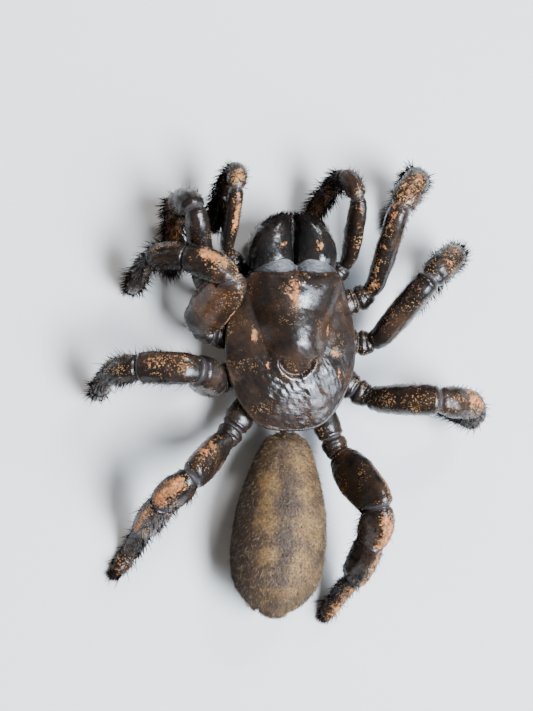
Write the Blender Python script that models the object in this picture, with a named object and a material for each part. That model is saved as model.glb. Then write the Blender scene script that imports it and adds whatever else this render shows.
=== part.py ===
"""A life-size trapdoor spider at rest, with its knees drawn up and its feet curled under.

Run with: blender --background --python part.py
Sizes are in millimetres and become metres where a mesh is made. +X is the spider's right, +Y its
front, +Z up, and the floor is z = 0. The limbs are chains of segments: each has a length, a swing
(its compass direction, 0 towards +X and 90 towards +Y) and a lift (above the horizon; past -90 it
curls back under itself). A limb is swept as one smooth tube and parted by thin cuts at its joints.
"""

import math

import bmesh
import bpy
import numpy as np
from mathutils import Vector

MM = 0.001
GAP = 0.3  # the cut between two pieces that touch
SIDES = 10  # faces round a limb segment

CARAPACE_HALF_OUTLINE = (  # right margin from the rear midpoint to the front midpoint
    (0.0, -4.88), (1.5, -4.72), (2.45, -4.1), (3.3, -2.9), (3.9, -1.4), (4.08, 0.2),
    (3.9, 1.9), (3.4, 3.4), (3.0, 4.3), (2.4, 4.72), (0.0, 4.78),
)
CARAPACE_FLOOR = 3.3  # height of the shield's flat underside
CARAPACE_RIM = 0.28  # thickness of the margin
THORAX_RISE = 1.35
CAPUT_RISE = 1.3
CAPUT_FRONT_RIM = 1.1  # how much the front margin stands above the side margins
FOVEA_CENTRE = (0.0, -0.4)
FOVEA_RADIUS = 1.02
FOVEA_DEPTH = 0.42
CARAPACE_SECTORS = 44
EYE_HILL = (0.0, 4.0)  # centre of the low hill that carries the eyes
EYE_HILL_RISE = 0.28
EYE_SUNK = 0.15  # of its radius
EYES = (  # x, y and radius of each eye on the right side
    (0.16, 4.02, 0.15), (0.52, 4.28, 0.2), (0.34, 3.78, 0.12), (0.58, 3.88, 0.17),
)

STERNUM_HALF_OUTLINE = (
    (0.0, -3.4), (0.55, -3.15), (1.1, -2.3), (1.55, -1.1), (1.7, 0.5), (1.5, 2.0), (1.0, 2.8), (0.0, 2.95),
)
STERNUM_Z = (1.3, 2.95)
# y, centre x, centre z, half-width and half-height.
LABIUM_STATIONS = ((3.28, 0, 1.85, 0.62, 0.5), (3.7, 0, 1.85, 0.66, 0.52), (4.15, 0, 1.85, 0.5, 0.42))
PEDICEL_STATIONS = ((-3.75, 0, 2.5, 0.5, 0.38), (-4.4, 0, 2.5, 0.42, 0.36), (-4.8, 0, 2.5, 0.55, 0.42))

CHELICERA_Y = (5.6, 8.15)
CHELICERA_INNER = 0.15  # from the midline to its straight inner side
CHELICERA_Z = (3.92, 3.62)  # height of its middle, at the back and at the front
CHELICERA_HALF_WIDTH = 1.28
CHELICERA_HALF_HEIGHT = 1.4
MEMBRANE_Y = (5.02, 5.3)
MEMBRANE_Z = 3.86
MEMBRANE_FLATNESS = 0.92
MEMBRANE_LOBE = (0.98, 1.46)  # where each of its two round lobes is centred, and its radius
RASTELLUM_TEETH = 4
RASTELLUM_ROW = ((0.42, 7.92, 4.05), (1.16, 7.72, 3.75))  # its first and last tooth's root
RASTELLUM_TOOTH = (0.05, 0.62, 0.22)  # from root to tip
RASTELLUM_ROOT = 0.23
FANG_LINE = ((1.35, 7.55, 1.52), (1.3, 6.9, 1.18), (1.2, 6.1, 1.05), (1.1, 5.3, 1.2))
FANG_THICKNESS = 0.42

ABDOMEN_YAW = 5.5  # degrees the abdomen bends to the spider's left
ABDOMEN_START = -5.1
ABDOMEN_STATIONS = (  # distance behind the waist, half-width, half-height, height of the centre
    (0.0, 0.8, 0.75, 2.55), (0.5, 1.4, 1.35, 2.6), (2.1, 2.08, 2.05, 2.7), (4.0, 2.62, 2.6, 2.78),
    (6.1, 2.92, 2.88, 2.83), (7.6, 2.9, 2.86, 2.86), (9.1, 2.6, 2.62, 2.9), (10.2, 1.85, 1.9, 2.97),
    (10.8, 0.95, 1.0, 3.0),
)
ABDOMEN_SIDES = 24
SPINNERET_ROOT = 10.1  # distance behind the waist
SPINNERET_HEIGHT = 0.6
SPINNERET_LENGTH = 0.95
SPINNERET_SLANT = 1.25  # how its root follows the slope of the abdomen
SPINNERET_RADII = ((0, 0.36), (0.35, 0.4), (0.42, 0.34), (0.68, 0.34), (0.75, 0.27), (1, 0.16))

# Where each coxa leaves the sternum, on the right side.
COXA_ROOTS = {
    "palp": (1.5, 3.6, 1.85),
    "leg1": (2.15, 2.3, 1.95),
    "leg2": (2.25, 0.75, 1.98),
    "leg3": (2.2, -0.9, 1.98),
    "leg4": (1.9, -2.6, 1.95),
}
# Where the trochanter hands over to the femur, on each side.
HIPS = {
    "palp_right": (3.9, 5.2, 2.45), "palp_left": (-3.85, 5.9, 2.45),
    "leg1_right": (5.5, 3.55, 2.45), "leg1_left": (-5.1, 3.55, 2.35),
    "leg2_right": (5.6, 0.4, 2.45), "leg2_left": (-5.85, 1.35, 2.6),
    "leg3_right": (5.3, -3.0, 2.45), "leg3_left": (-4.75, -2.15, 2.5),
    "leg4_right": (3.3, -6.55, 2.5), "leg4_left": (-3.95, -5.6, 2.5),
}
# Lengths of femur, patella, tibia, metatarsus and tarsus. A palp has no metatarsus.
LENGTHS = {
    "palp": (5.2, 2.1, 2.15, 2.3),
    "leg1": (6.4, 2.9, 2.5, 2.0, 1.5),
    "leg2": (5.95, 3.3, 2.5, 2.7, 1.9),
    "leg3": (5.1, 3.7, 2.4, 2.5, 1.9),
    "leg4": (5.6, 2.9, 3.6, 2.7, 1.5),
}
# Half-widths and half-heights of coxa, femur, patella, tibia and foot.
GIRTHS = {
    "palp": ((0.72, 0.68), (0.48, 0.76), (0.56, 0.64), (0.56, 0.58), (0.52, 0.5)),
    "leg1": ((0.9, 0.78), (0.68, 1.05), (0.86, 0.88), (0.78, 0.78), (0.54, 0.54)),
    "leg2": ((0.9, 0.78), (0.82, 1.36), (0.88, 0.9), (0.8, 0.8), (0.56, 0.54)),
    "leg3": ((0.92, 0.78), (0.95, 1.2), (0.95, 0.95), (0.84, 0.82), (0.58, 0.54)),
    "leg4": ((0.9, 0.78), (0.78, 1.38), (0.84, 1.08), (0.78, 1.0), (0.56, 0.58)),
}
# Swing and lift of each segment after the hip, in degrees. The last lift sets the foot down.
POSES = {
    "palp_right": ((93, 40), (112, -34), (66, -115), (62, -142)),
    "palp_left": ((91, 45), (80, -45), (70, -138), (77, -162)),
    "leg1_right": ((83, 35), (50, -30), (134, -99), (76, -143), (77, -170)),
    "leg1_left": ((105, 38), (130, -76), (96, -110), (90, -148), (86, -170)),
    "leg2_right": ((59, 38), (35, -32), (137, -99), (60, -147), (45, -170)),
    "leg2_left": ((61, 56), (154, -25), (181, -42), (250, -60), (268, -40)),
    "leg3_right": ((1, 50), (-8, -36), (-65, -60), (-35, -140), (-20, -175)),
    "leg3_left": ((143, 69), (178, -15), (195, -41), (260, -50), (272, -50)),
    "leg4_right": ((-64, 58), (-91, -42), (-99, -42), (-110, -52), (-117, -12)),
    "leg4_left": ((-150, 55), (-130, -42), (-109, -56), (-112, -46), (-127, -12)),
}
# How far a limb leans over, in degrees about its own line.
LEANS = {"leg4_right": -35.0, "leg4_left": 30.0}
BEND_REACH = 1.15  # how far before and after a joint its bend starts
INNER_SHARE = 0.62  # how near a bend's centre its inner side may come
LEVEL_SHARE = 0.3  # how strongly a segment's hinge axis is drawn level
END_STEP = 0.42  # from an end of a piece to its next ring
TIP_HEIGHT = 0.3  # height of a foot's tip over the floor

SPINE_LENGTH = 0.78  # beyond the cuticle
SPINE_ROOT = 0.24  # half its thickness at the root
SPINE_SUNK = 0.3
SPINE_SLANT = 38.0  # degrees that it leans towards the tip of the limb
CLAW_LENGTH = 0.34  # beyond the end of the foot
CLAW_SUNK = 0.25
CLAW_ROOT = 0.16
CLAW_SPREAD = (0.14, 0.3)  # from the middle of the foot, at the root and at the tip
FLOOR_CLEARANCE = 0.12
# Rows of spines on a piece: degrees round it from its outer side, how many, and from and to where.
SPINE_ROWS = {
    "palp_foot": ((15, 5, 0.12, 0.9), (165, 5, 0.08, 0.86)),
    "leg1_tibia": ((20, 3, 0.2, 0.85), (160, 3, 0.2, 0.85)),
    "leg1_foot": ((12, 5, 0.1, 0.9), (168, 5, 0.06, 0.86)),
    "leg2_tibia": ((20, 3, 0.2, 0.85), (160, 3, 0.2, 0.85)),
    "leg2_foot": ((12, 5, 0.1, 0.9), (168, 5, 0.06, 0.86)),
    "leg3_patella": ((55, 3, 0.45, 0.9), (125, 3, 0.4, 0.86)),
    "leg3_tibia": ((45, 3, 0.3, 0.85), (135, 3, 0.3, 0.85)),
    "leg3_foot": ((35, 4, 0.1, 0.85), (145, 4, 0.06, 0.8)),
    "leg4_tibia": ((-20, 2, 0.6, 0.9), (200, 2, 0.6, 0.9)),
    "leg4_foot": ((-5, 4, 0.1, 0.85), (185, 4, 0.06, 0.8)),
}

# Along each piece: position, share of the half-width, share of the half-height.
PROFILES = {
    "coxa": (
        (0, 0.6, 0.72), (0.25, 0.88, 0.95), (0.55, 1, 1), (0.7, 0.8, 0.84), (0.84, 0.9, 0.92), (1, 0.68, 0.74),
    ),
    "femur": (
        (0, 0.74, 0.66), (0.15, 0.88, 0.84), (0.42, 1, 1), (0.72, 1, 0.93), (0.9, 1, 0.86), (1, 0.84, 0.72),
    ),
    "patella": ((0, 0.8, 0.74), (0.25, 1, 0.96), (0.55, 1, 1), (0.85, 0.98, 0.94), (1, 0.84, 0.8)),
    "tibia": ((0, 0.84, 0.82), (0.25, 1, 1), (0.6, 0.98, 0.97), (0.85, 0.93, 0.92), (1, 0.76, 0.76)),
    "foot": (
        (0, 0.88, 0.88), (0.15, 1, 1), (0.45, 0.97, 0.97), (0.56, 0.88, 0.9), (0.68, 0.98, 0.96),
        (0.9, 0.8, 0.84), (1, 0.45, 0.5),
    ),
}
PIECES = ("coxa", "femur", "patella", "tibia", "foot")
PIECE_RINGS = {"coxa": 7, "femur": 8, "patella": 6, "tibia": 6, "foot": 8}

CUTICLE = ("cuticle", (0.035, 0.022, 0.018), 0.25)
VELVET = ("velvet", (0.14, 0.10, 0.065), 0.8)
MEMBRANE = ("membrane", (0.32, 0.33, 0.36), 0.35)
FANG = ("fang", (0.05, 0.012, 0.008), 0.15)


def clear_scene():
    for obj in list(bpy.data.objects):
        bpy.data.objects.remove(obj)


def material(spec):
    name, colour, roughness = spec
    made = bpy.data.materials.get(name)
    if made is None:
        made = bpy.data.materials.new(name)
        made.use_nodes = True
        shader = made.node_tree.nodes["Principled BSDF"]
        shader.inputs["Base Color"].default_value = (*colour, 1.0)
        shader.inputs["Roughness"].default_value = roughness
    return made


def add_object(name, points, faces, spec):
    """A mesh object from points in millimetres, shaded smooth apart from its sharp edges."""
    mesh = bpy.data.meshes.new(name)
    mesh.from_pydata([Vector(p) * MM for p in points], [], faces)
    tidy = bmesh.new()
    tidy.from_mesh(mesh)
    bmesh.ops.recalc_face_normals(tidy, faces=tidy.faces)
    tidy.to_mesh(mesh)
    tidy.free()
    mesh.materials.append(material(spec))
    mesh.shade_smooth()
    mesh.set_sharp_from_angle(angle=math.radians(50))
    obj = bpy.data.objects.new(name, mesh)
    bpy.context.scene.collection.objects.link(obj)
    return obj


def add_cone(name, root, tip, radius, sides=4):
    """A closed spike from a root point to its tip."""
    root, tip = Vector(root), Vector(tip)
    turn = (tip - root).to_track_quat("Z", "Y")
    points = []
    for i in range(sides):
        a = 2 * math.pi * i / sides
        points.append(root + turn @ Vector((radius * math.cos(a), radius * math.sin(a), 0)))
    points.append(tip)
    faces = [(i, (i + 1) % sides, sides) for i in range(sides)] + [tuple(range(sides))]
    return add_object(name, points, faces, CUTICLE)


def add_ball(name, centre, radius, sides=7):
    """A small round body of few faces."""
    around = [2 * math.pi * i / sides for i in range(sides)]
    rings = []
    for lift in (-70, -35, 0, 35, 70):
        reach = radius * math.cos(math.radians(lift))
        z = centre[2] + radius * math.sin(math.radians(lift))
        rings.append([(centre[0] + reach * math.cos(a), centre[1] + reach * math.sin(a), z) for a in around])
    return add_object(name, *skin_rings(rings), CUTICLE)


def largest_surface(mesh):
    """Deletes every closed surface of the mesh but the largest."""
    whole = bmesh.new()
    whole.from_mesh(mesh)
    unseen = set(whole.faces)
    shells = []
    while unseen:
        stack = [unseen.pop()]
        shell = []
        while stack:
            face = stack.pop()
            shell.append(face)
            for edge in face.edges:
                for beside in edge.link_faces:
                    if beside in unseen:
                        unseen.discard(beside)
                        stack.append(beside)
        shells.append(shell)
    shells.sort(key=lambda shell: sum(face.calc_area() for face in shell))
    spare = [face for shell in shells[:-1] for face in shell]
    if spare:
        bmesh.ops.delete(whole, geom=spare, context="FACES")
    whole.to_mesh(mesh)
    whole.free()


def fuse(obj, shapes):
    """Joins closed shapes to the object by one union, and removes them from the scene."""
    group = bpy.data.collections.new("fused")
    bpy.context.scene.collection.children.link(group)
    for shape in shapes:
        bpy.context.scene.collection.objects.unlink(shape)
        group.objects.link(shape)
    union = obj.modifiers.new("fuse", "BOOLEAN")
    union.operation = "UNION"
    union.solver = "MANIFOLD"
    union.operand_type = "COLLECTION"
    union.collection = group
    graph = bpy.context.evaluated_depsgraph_get()
    joined = bpy.data.meshes.new_from_object(obj.evaluated_get(graph))
    obj.modifiers.clear()
    obj.data = joined
    for shape in shapes:
        bpy.data.objects.remove(shape)
    bpy.data.collections.remove(group)
    largest_surface(joined)
    joined.shade_smooth()
    joined.set_sharp_from_angle(angle=math.radians(50))
    return obj


def skin_rings(rings):
    """Points and faces of a closed body through equal rings, each end closed by a fan."""
    count = len(rings[0])
    points = [p for ring in rings for p in ring]
    faces = []
    for row in range(len(rings) - 1):
        for i in range(count):
            j = (i + 1) % count
            low, high = row * count, (row + 1) * count
            faces.append((low + i, low + j, high + j, high + i))
    for start in (0, (len(rings) - 1) * count):
        hub = len(points)
        points.append(np.mean([points[start + i] for i in range(count)], axis=0))
        faces += [(start + i, start + (i + 1) % count, hub) for i in range(count)]
    return points, faces


def smooth_through(points, steps, closed=False):
    """Catmull-Rom curve through the points, as an array with steps samples between neighbours."""
    pts = np.array(points, float)
    if closed:
        pts = np.vstack([pts[-1], pts, pts[0], pts[1]])
    else:
        pts = np.vstack([2 * pts[0] - pts[1], pts, 2 * pts[-1] - pts[-2]])
    out = []
    for a, b, c, d in zip(pts, pts[1:], pts[2:], pts[3:]):
        for t in np.arange(steps) / steps:
            bend, twist = 2 * a - 5 * b + 4 * c - d, 3 * b - a - 3 * c + d
            out.append(0.5 * (2 * b + (c - a) * t + bend * t**2 + twist * t**3))
    if not closed:
        out.append(pts[-2])
    return np.array(out)


def smooth_step(value, low, high):
    t = np.clip((value - low) / (high - low), 0, 1)
    return t * t * (3 - 2 * t)


def closed_outline(half_outline):
    """The whole outline from its right half, mirrored across the midline."""
    left = [(-x, y) for x, y in reversed(half_outline[1:-1])]
    return smooth_through(list(half_outline) + left, 12, closed=True)


def outline_reach(outline, centre, angles):
    """How far the outline lies from a centre inside it, in each direction."""
    offset = outline - np.array(centre)
    around = np.arctan2(offset[:, 1], offset[:, 0])
    order = np.argsort(around)
    return np.interp(angles, around[order], np.hypot(*offset.T)[order], period=2 * math.pi)


def carapace_top(x, y, edge, reach):
    """Height of the shield at x, y. edge runs from 0 at the fovea to 1 at the margin."""
    front = smooth_step(y, 2.4, 4.5) * (1 - smooth_step(abs(x), 2.8, 3.8))
    rim = CARAPACE_FLOOR + CARAPACE_RIM + CAPUT_FRONT_RIM * front
    thorax = THORAX_RISE * (1 - edge**2.3)
    caput_width = 1.25 + 0.3 * (y + 1.8)
    across = np.clip(1 - (abs(x) / max(caput_width, 0.4)) ** 2.2, 0, 1)
    along = smooth_step(y, -1.75, 0.6)
    brow = 1 - 0.25 * smooth_step(y, 2.5, 4.72)
    caput = CAPUT_RISE * along * across**0.8 * brow * (1 - edge**14)
    groove_angle = math.atan2(y - FOVEA_CENTRE[1], x)
    behind = smooth_step(-math.sin(groove_angle), -0.15, 0.35)
    groove = FOVEA_DEPTH * behind * math.exp(-(((reach - FOVEA_RADIUS) / 0.13) ** 2))
    spokes = 0.07 * (0.5 + 0.5 * math.cos(9 * groove_angle)) * smooth_step(edge, 0.3, 0.6) * (1 - edge**6)
    hill = EYE_HILL_RISE * math.exp(-(((x - EYE_HILL[0]) / 0.62) ** 2) - ((y - EYE_HILL[1]) / 0.42) ** 2)
    return rim + thorax + caput + hill - groove - spokes * (1 - along * across)


def make_carapace():
    """The domed shield: a raised head region, a U-shaped fovea and shallow furrows from it."""
    centre = np.array(FOVEA_CENTRE)
    angles = (np.arange(CARAPACE_SECTORS) + 0.5) * 2 * math.pi / CARAPACE_SECTORS
    margin = outline_reach(closed_outline(CARAPACE_HALF_OUTLINE), centre, angles)
    inner = (0.42, 0.82, FOVEA_RADIUS, 1.24)
    outer = (0.16, 0.34, 0.52, 0.68, 0.8, 0.9, 0.96, 1.0)
    rings = []
    for radius in inner:
        rings.append([radius] * CARAPACE_SECTORS)
    for share in outer:
        rings.append([inner[-1] + (m - inner[-1]) * share for m in margin])
    points = []
    for ring in rings:
        for angle, reach, most in zip(angles, ring, margin):
            x, y = centre + reach * np.array((math.cos(angle), math.sin(angle)))
            points.append((x, y, carapace_top(x, y, reach / most, reach)))
    count = CARAPACE_SECTORS
    faces = []
    for row in range(len(rings) - 1):
        low, high = row * count, (row + 1) * count
        faces += [(low + i, low + (i + 1) % count, high + (i + 1) % count, high + i) for i in range(count)]
    hub = len(points)
    points.append((*centre, carapace_top(*centre, 0, 0)))
    faces += [(i, (i + 1) % count, hub) for i in range(count)]
    last = (len(rings) - 1) * count
    under = len(points)
    for angle, reach in zip(angles, margin):
        x, y = centre + (reach - 0.12) * np.array((math.cos(angle), math.sin(angle)))
        points.append((x, y, CARAPACE_FLOOR))
    faces += [(last + i, last + (i + 1) % count, under + (i + 1) % count, under + i) for i in range(count)]
    floor_hub = len(points)
    points.append((*centre, CARAPACE_FLOOR))
    faces += [(under + i, under + (i + 1) % count, floor_hub) for i in range(count)]
    shield = add_object("carapace", points, faces, CUTICLE)
    eyes = []
    for x, y, radius in EYES:
        reach = math.hypot(x, y - centre[1])
        top = carapace_top(x, y, reach / (CARAPACE_HALF_OUTLINE[-1][1] - centre[1]), reach)
        for sign in (-1, 1):
            eyes.append(add_ball("eye", (sign * x, y, top - EYE_SUNK * radius), radius))
    return fuse(shield, eyes)


def make_sternum():
    """The plate between the coxae, slightly domed underneath."""
    low, high = STERNUM_Z
    centre = np.array((0.0, -0.2))
    angles = (np.arange(28) + 0.5) * 2 * math.pi / 28
    reach = outline_reach(closed_outline(STERNUM_HALF_OUTLINE), centre, angles)
    rings = []
    for share, z in ((0.55, low), (0.85, low + 0.08), (1.0, low + 0.3), (1.0, high)):
        ring = []
        for angle, most in zip(angles, reach):
            x, y = centre + share * most * np.array((math.cos(angle), math.sin(angle)))
            ring.append((x, y, z))
        rings.append(ring)
    return add_object("sternum", *skin_rings(rings), CUTICLE)


def turned_along_y(stations, sides):
    """Rings across the body's length from y, centre x, centre z, half-width, half-height."""
    rings = []
    for y, x, z, half_w, half_h in stations:
        ring = []
        for i in range(sides):
            a = 2 * math.pi * (i + 0.5) / sides
            ring.append((x + half_w * math.cos(a), y, z + half_h * math.sin(a)))
        rings.append(ring)
    return rings


def make_labium():
    return add_object("labium", *skin_rings(turned_along_y(LABIUM_STATIONS, 12)), CUTICLE)


def make_pedicel():
    return add_object("pedicel", *skin_rings(turned_along_y(PEDICEL_STATIONS, 12)), MEMBRANE)


def make_cheliceral_membrane():
    """The soft pale fold between the front margin and the jaws, with a round lobe behind each jaw."""
    back, front = MEMBRANE_Y
    aside, radius = MEMBRANE_LOBE
    rings = []
    for y, shrink in ((back, 0.94), (0.5 * (back + front), 1.0), (front, 0.92)):
        ring = []
        for i in range(32):
            a = 2 * math.pi * (i + 0.5) / 32
            reach = shrink * (aside * abs(math.cos(a)) + math.sqrt(radius**2 - (aside * math.sin(a)) ** 2))
            ring.append((reach * math.cos(a), y, MEMBRANE_Z + MEMBRANE_FLATNESS * reach * math.sin(a)))
        rings.append(ring)
    return add_object("cheliceral_membrane", *skin_rings(rings), MEMBRANE)


def chelicera_section(share):
    """Centre x, centre z, half-width and half-height along a chelicera."""
    narrow = math.sqrt(1 - (max(0.0, share - 0.1) / 0.93) ** 2)
    flat = math.sqrt(1 - (max(0.0, share - 0.5) / 0.56) ** 2)
    half_w = CHELICERA_HALF_WIDTH * (0.12 + 0.88 * narrow)
    half_h = CHELICERA_HALF_HEIGHT * (0.45 + 0.55 * flat)
    z = CHELICERA_Z[0] + (CHELICERA_Z[1] - CHELICERA_Z[0]) * share
    return CHELICERA_INNER + half_w, z, half_w, half_h


def make_chelicera(side):
    back, front = CHELICERA_Y
    sign = 1 if side == "right" else -1
    rings = []
    for share in (0.0, 0.15, 0.4, 0.62, 0.8, 0.92, 1.0):
        x, z, half_w, half_h = chelicera_section(share)
        ring = []
        for i in range(16):
            a = 2 * math.pi * (i + 0.5) / 16
            px = x + half_w * math.cos(a)
            ring.append((sign * max(px, GAP / 2 + 0.02), back + (front - back) * share, z + half_h * math.sin(a)))
        rings.append(ring)
    jaw = add_object(f"chelicera_{side}", *skin_rings(rings), CUTICLE)
    first, last = (np.array(root) for root in RASTELLUM_ROW)
    mirror = np.array((sign, 1, 1))
    teeth = []
    for share in np.linspace(0, 1, RASTELLUM_TEETH):
        root = first + (last - first) * share
        tip = root + np.array(RASTELLUM_TOOTH)
        teeth.append(add_cone("tooth", root * mirror, tip * mirror, RASTELLUM_ROOT))
    return fuse(jaw, teeth)


def make_fang(side):
    """The fang folded back under its chelicera."""
    sign = 1 if side == "right" else -1
    line = smooth_through(FANG_LINE, 3)
    rings = []
    for k, (x, y, z) in enumerate(line):
        share = k / (len(line) - 1)
        radius = FANG_THICKNESS * (1 - share) ** 0.7 + 0.06
        before, after = line[max(k - 1, 0)], line[min(k + 1, len(line) - 1)]
        along = Vector(after - before).normalized()
        right = Vector((1, 0, 0))
        up = right.cross(along).normalized()
        ring = []
        for i in range(8):
            a = 2 * math.pi * i / 8
            p = Vector((x, y, z)) + right * radius * math.cos(a) + up * radius * math.sin(a)
            ring.append((sign * p.x, p.y, p.z))
        rings.append(ring)
    return add_object(f"fang_{side}", *skin_rings(rings), FANG)


def abdomen_point(back, across, z):
    """A point of the abdomen from its own axis, which bends to the left behind the waist."""
    yaw = math.radians(ABDOMEN_YAW)
    x = across * math.cos(yaw) - back * math.sin(yaw)
    return (x, ABDOMEN_START - back * math.cos(yaw) - across * math.sin(yaw), z)


def make_abdomen():
    """The soft egg-shaped abdomen, resting on the floor."""
    stations = smooth_through(ABDOMEN_STATIONS, 2)
    rings = []
    for back, half_w, half_h, centre in stations:
        ring = []
        for i in range(ABDOMEN_SIDES):
            a = 2 * math.pi * (i + 0.5) / ABDOMEN_SIDES
            ring.append(abdomen_point(back, half_w * math.cos(a), max(0.0, centre + half_h * math.sin(a))))
        rings.append(ring)
    return add_object("abdomen", *skin_rings(rings), VELVET)


def make_spinneret(side):
    """One of the two hind spinnerets, three short joints tucked under the abdomen's end."""
    sign = 1 if side == "right" else -1
    rings = []
    for share, radius in SPINNERET_RADII:
        ring = []
        for i in range(8):
            a = 2 * math.pi * (i + 0.5) / 8
            rise = radius * math.sin(a)
            back = SPINNERET_ROOT + SPINNERET_LENGTH * share + SPINNERET_SLANT * (1 - share) ** 2 * rise
            across = sign * (0.49 + 0.1 * share) + radius * math.cos(a)
            ring.append(abdomen_point(back, across, SPINNERET_HEIGHT - 0.12 * share + rise))
        rings.append(ring)
    return add_object(f"spinneret_{side}", *skin_rings(rings), VELVET)


def direction(swing, lift):
    s, l = math.radians(swing), math.radians(lift)
    return np.array((math.cos(l) * math.cos(s), math.cos(l) * math.sin(s), math.sin(l)))


def unit(v):
    return v / np.linalg.norm(v)


class Limb:
    """The centre line of a limb, smooth through its joints, with its sideways direction."""

    def __init__(self, name):
        self.kind, side = name.split("_")
        mirror = np.array((1 if side == "right" else -1, 1, 1))
        root, hip = np.array(COXA_ROOTS[self.kind]) * mirror, np.array(HIPS[name])
        self.joints = [root, hip]
        self.swings = [math.degrees(math.atan2(hip[1] - root[1], hip[0] - root[0]))]
        lengths = LENGTHS[self.kind]
        for length, (swing, lift) in zip(lengths, POSES[name]):
            if len(self.joints) == 6:
                drop = math.degrees(math.asin(min(1.0, (self.joints[-1][2] - TIP_HEIGHT) / length)))
                lift = -drop if lift > -90 else drop - 180
            self.joints.append(self.joints[-1] + length * direction(swing, lift))
            self.swings.append(swing)
        self.headings = [unit(b - a) for a, b in zip(self.joints, self.joints[1:])]
        self.sides = self.side_directions(LEANS.get(name, 0.0))
        self.trace()

    def side_directions(self, lean):
        """Each segment's hinge axis: square to the plane it bends in, then leaned about itself."""
        found = []
        for i, (heading, swing) in enumerate(zip(self.headings, self.swings)):
            level = np.array((math.sin(math.radians(swing)), -math.cos(math.radians(swing)), 0))
            total = LEVEL_SHARE * level
            for j in (i - 1, i):
                if j < 1 or j + 1 >= len(self.headings):
                    continue
                hinge = -np.cross(self.headings[j], self.headings[j + 1])
                total = total + (hinge if hinge.dot(level) > 0 else -hinge)
            side = unit(total - heading * heading.dot(total))
            if i:
                turn = math.radians(lean)
                side = side * math.cos(turn) + np.cross(heading, side) * math.sin(turn)
            found.append(side)
        return found

    def trace(self):
        """Samples of the line: straight stretches joined by a round bend at each joint."""
        line, along, across, inward, marks = [], [], [], [], [0]
        count = len(self.headings)
        lengths = [np.linalg.norm(b - a) for a, b in zip(self.joints, self.joints[1:])]
        reach = [0] + [min(BEND_REACH, 0.46 * a, 0.46 * b) for a, b in zip(lengths, lengths[1:])] + [0]
        for i in range(count):
            heading = self.headings[i]
            start = self.joints[i] + heading * reach[i]
            end = self.joints[i + 1] - heading * reach[i + 1]
            for t in np.linspace(0, 1, 8):
                line.append(start + (end - start) * t)
                along.append(heading)
                across.append(self.sides[i])
                inward.append(np.zeros(3))
            if i + 1 == count:
                continue
            after = self.headings[i + 1]
            turn = math.acos(max(-1.0, min(1.0, heading.dot(after))))
            toward = unit(after - heading * heading.dot(after))
            radius = reach[i + 1] / math.tan(turn / 2)
            for t in np.linspace(0, 1, 17)[1:-1]:
                ahead = heading * math.cos(turn * t) + toward * math.sin(turn * t)
                outward = heading * math.sin(turn * t) - toward * math.cos(turn * t)
                line.append(end + toward * radius + outward * radius)
                along.append(ahead)
                across.append((1 - t) * self.sides[i] + t * self.sides[i + 1])
                inward.append(-outward / radius)
                if abs(t - 0.5) < 1e-6:
                    marks.append(len(line) - 1)
        marks.append(len(line) - 1)
        self.samples = np.hstack([np.array(line), np.array(along), np.array(across), np.array(inward)])
        steps = np.linalg.norm(np.diff(self.samples[:, :3], axis=0), axis=1)
        self.run = np.concatenate([[0], np.cumsum(steps)])
        self.joint_run = [self.run[m] for m in marks]

    def section(self, run):
        """Point, heading, side, upper side and curvature at a distance along the limb."""
        values = [np.interp(run, self.run, column) for column in self.samples.T]
        point, along, side, inward = (np.array(values[k : k + 3]) for k in (0, 3, 6, 9))
        along = unit(along)
        side = unit(side - along * side.dot(along))
        return point, along, side, np.cross(side, along), inward

    def ring(self, run, half_w, half_h, shift=0.0):
        """A ring round the limb, pressed in on the inner side of a tight bend."""
        point, along, side, up, inward = self.section(run)
        curve = np.linalg.norm(inward)
        ring = []
        for i in range(SIDES):
            a = 2 * math.pi * (i + 0.5) / SIDES
            offset = side * half_w * math.cos(a) + up * half_h * math.sin(a)
            if curve > 1e-6:
                depth = offset.dot(inward) / curve
                offset = offset - inward / curve * max(0.0, depth - INNER_SHARE / curve)
            p = point + offset + along * shift
            ring.append((p[0], p[1], max(p[2], 0.0)))
        return ring

    def piece(self, piece, first, last):
        """Rings of the tube between two joints, drawn back from each cut by half the gap."""
        half_w, half_h = GIRTHS[self.kind][PIECES.index(piece)]
        profile = np.array(PROFILES[piece])
        begin, end = self.joint_run[first], self.joint_run[last]
        inner = np.linspace(begin + END_STEP, end - END_STEP, PIECE_RINGS[piece] - 2)
        rings = []
        for run in (begin, *inner, end):
            share = (run - begin) / (end - begin)
            w = half_w * np.interp(share, profile[:, 0], profile[:, 1])
            h = half_h * np.interp(share, profile[:, 0], profile[:, 2])
            shift = 0.0
            if run == begin and first > 0:
                shift = GAP / 2
            if run == end and last + 1 < len(self.joint_run):
                shift = -GAP / 2
            rings.append(self.ring(run, w, h, shift))
        return rings


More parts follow.
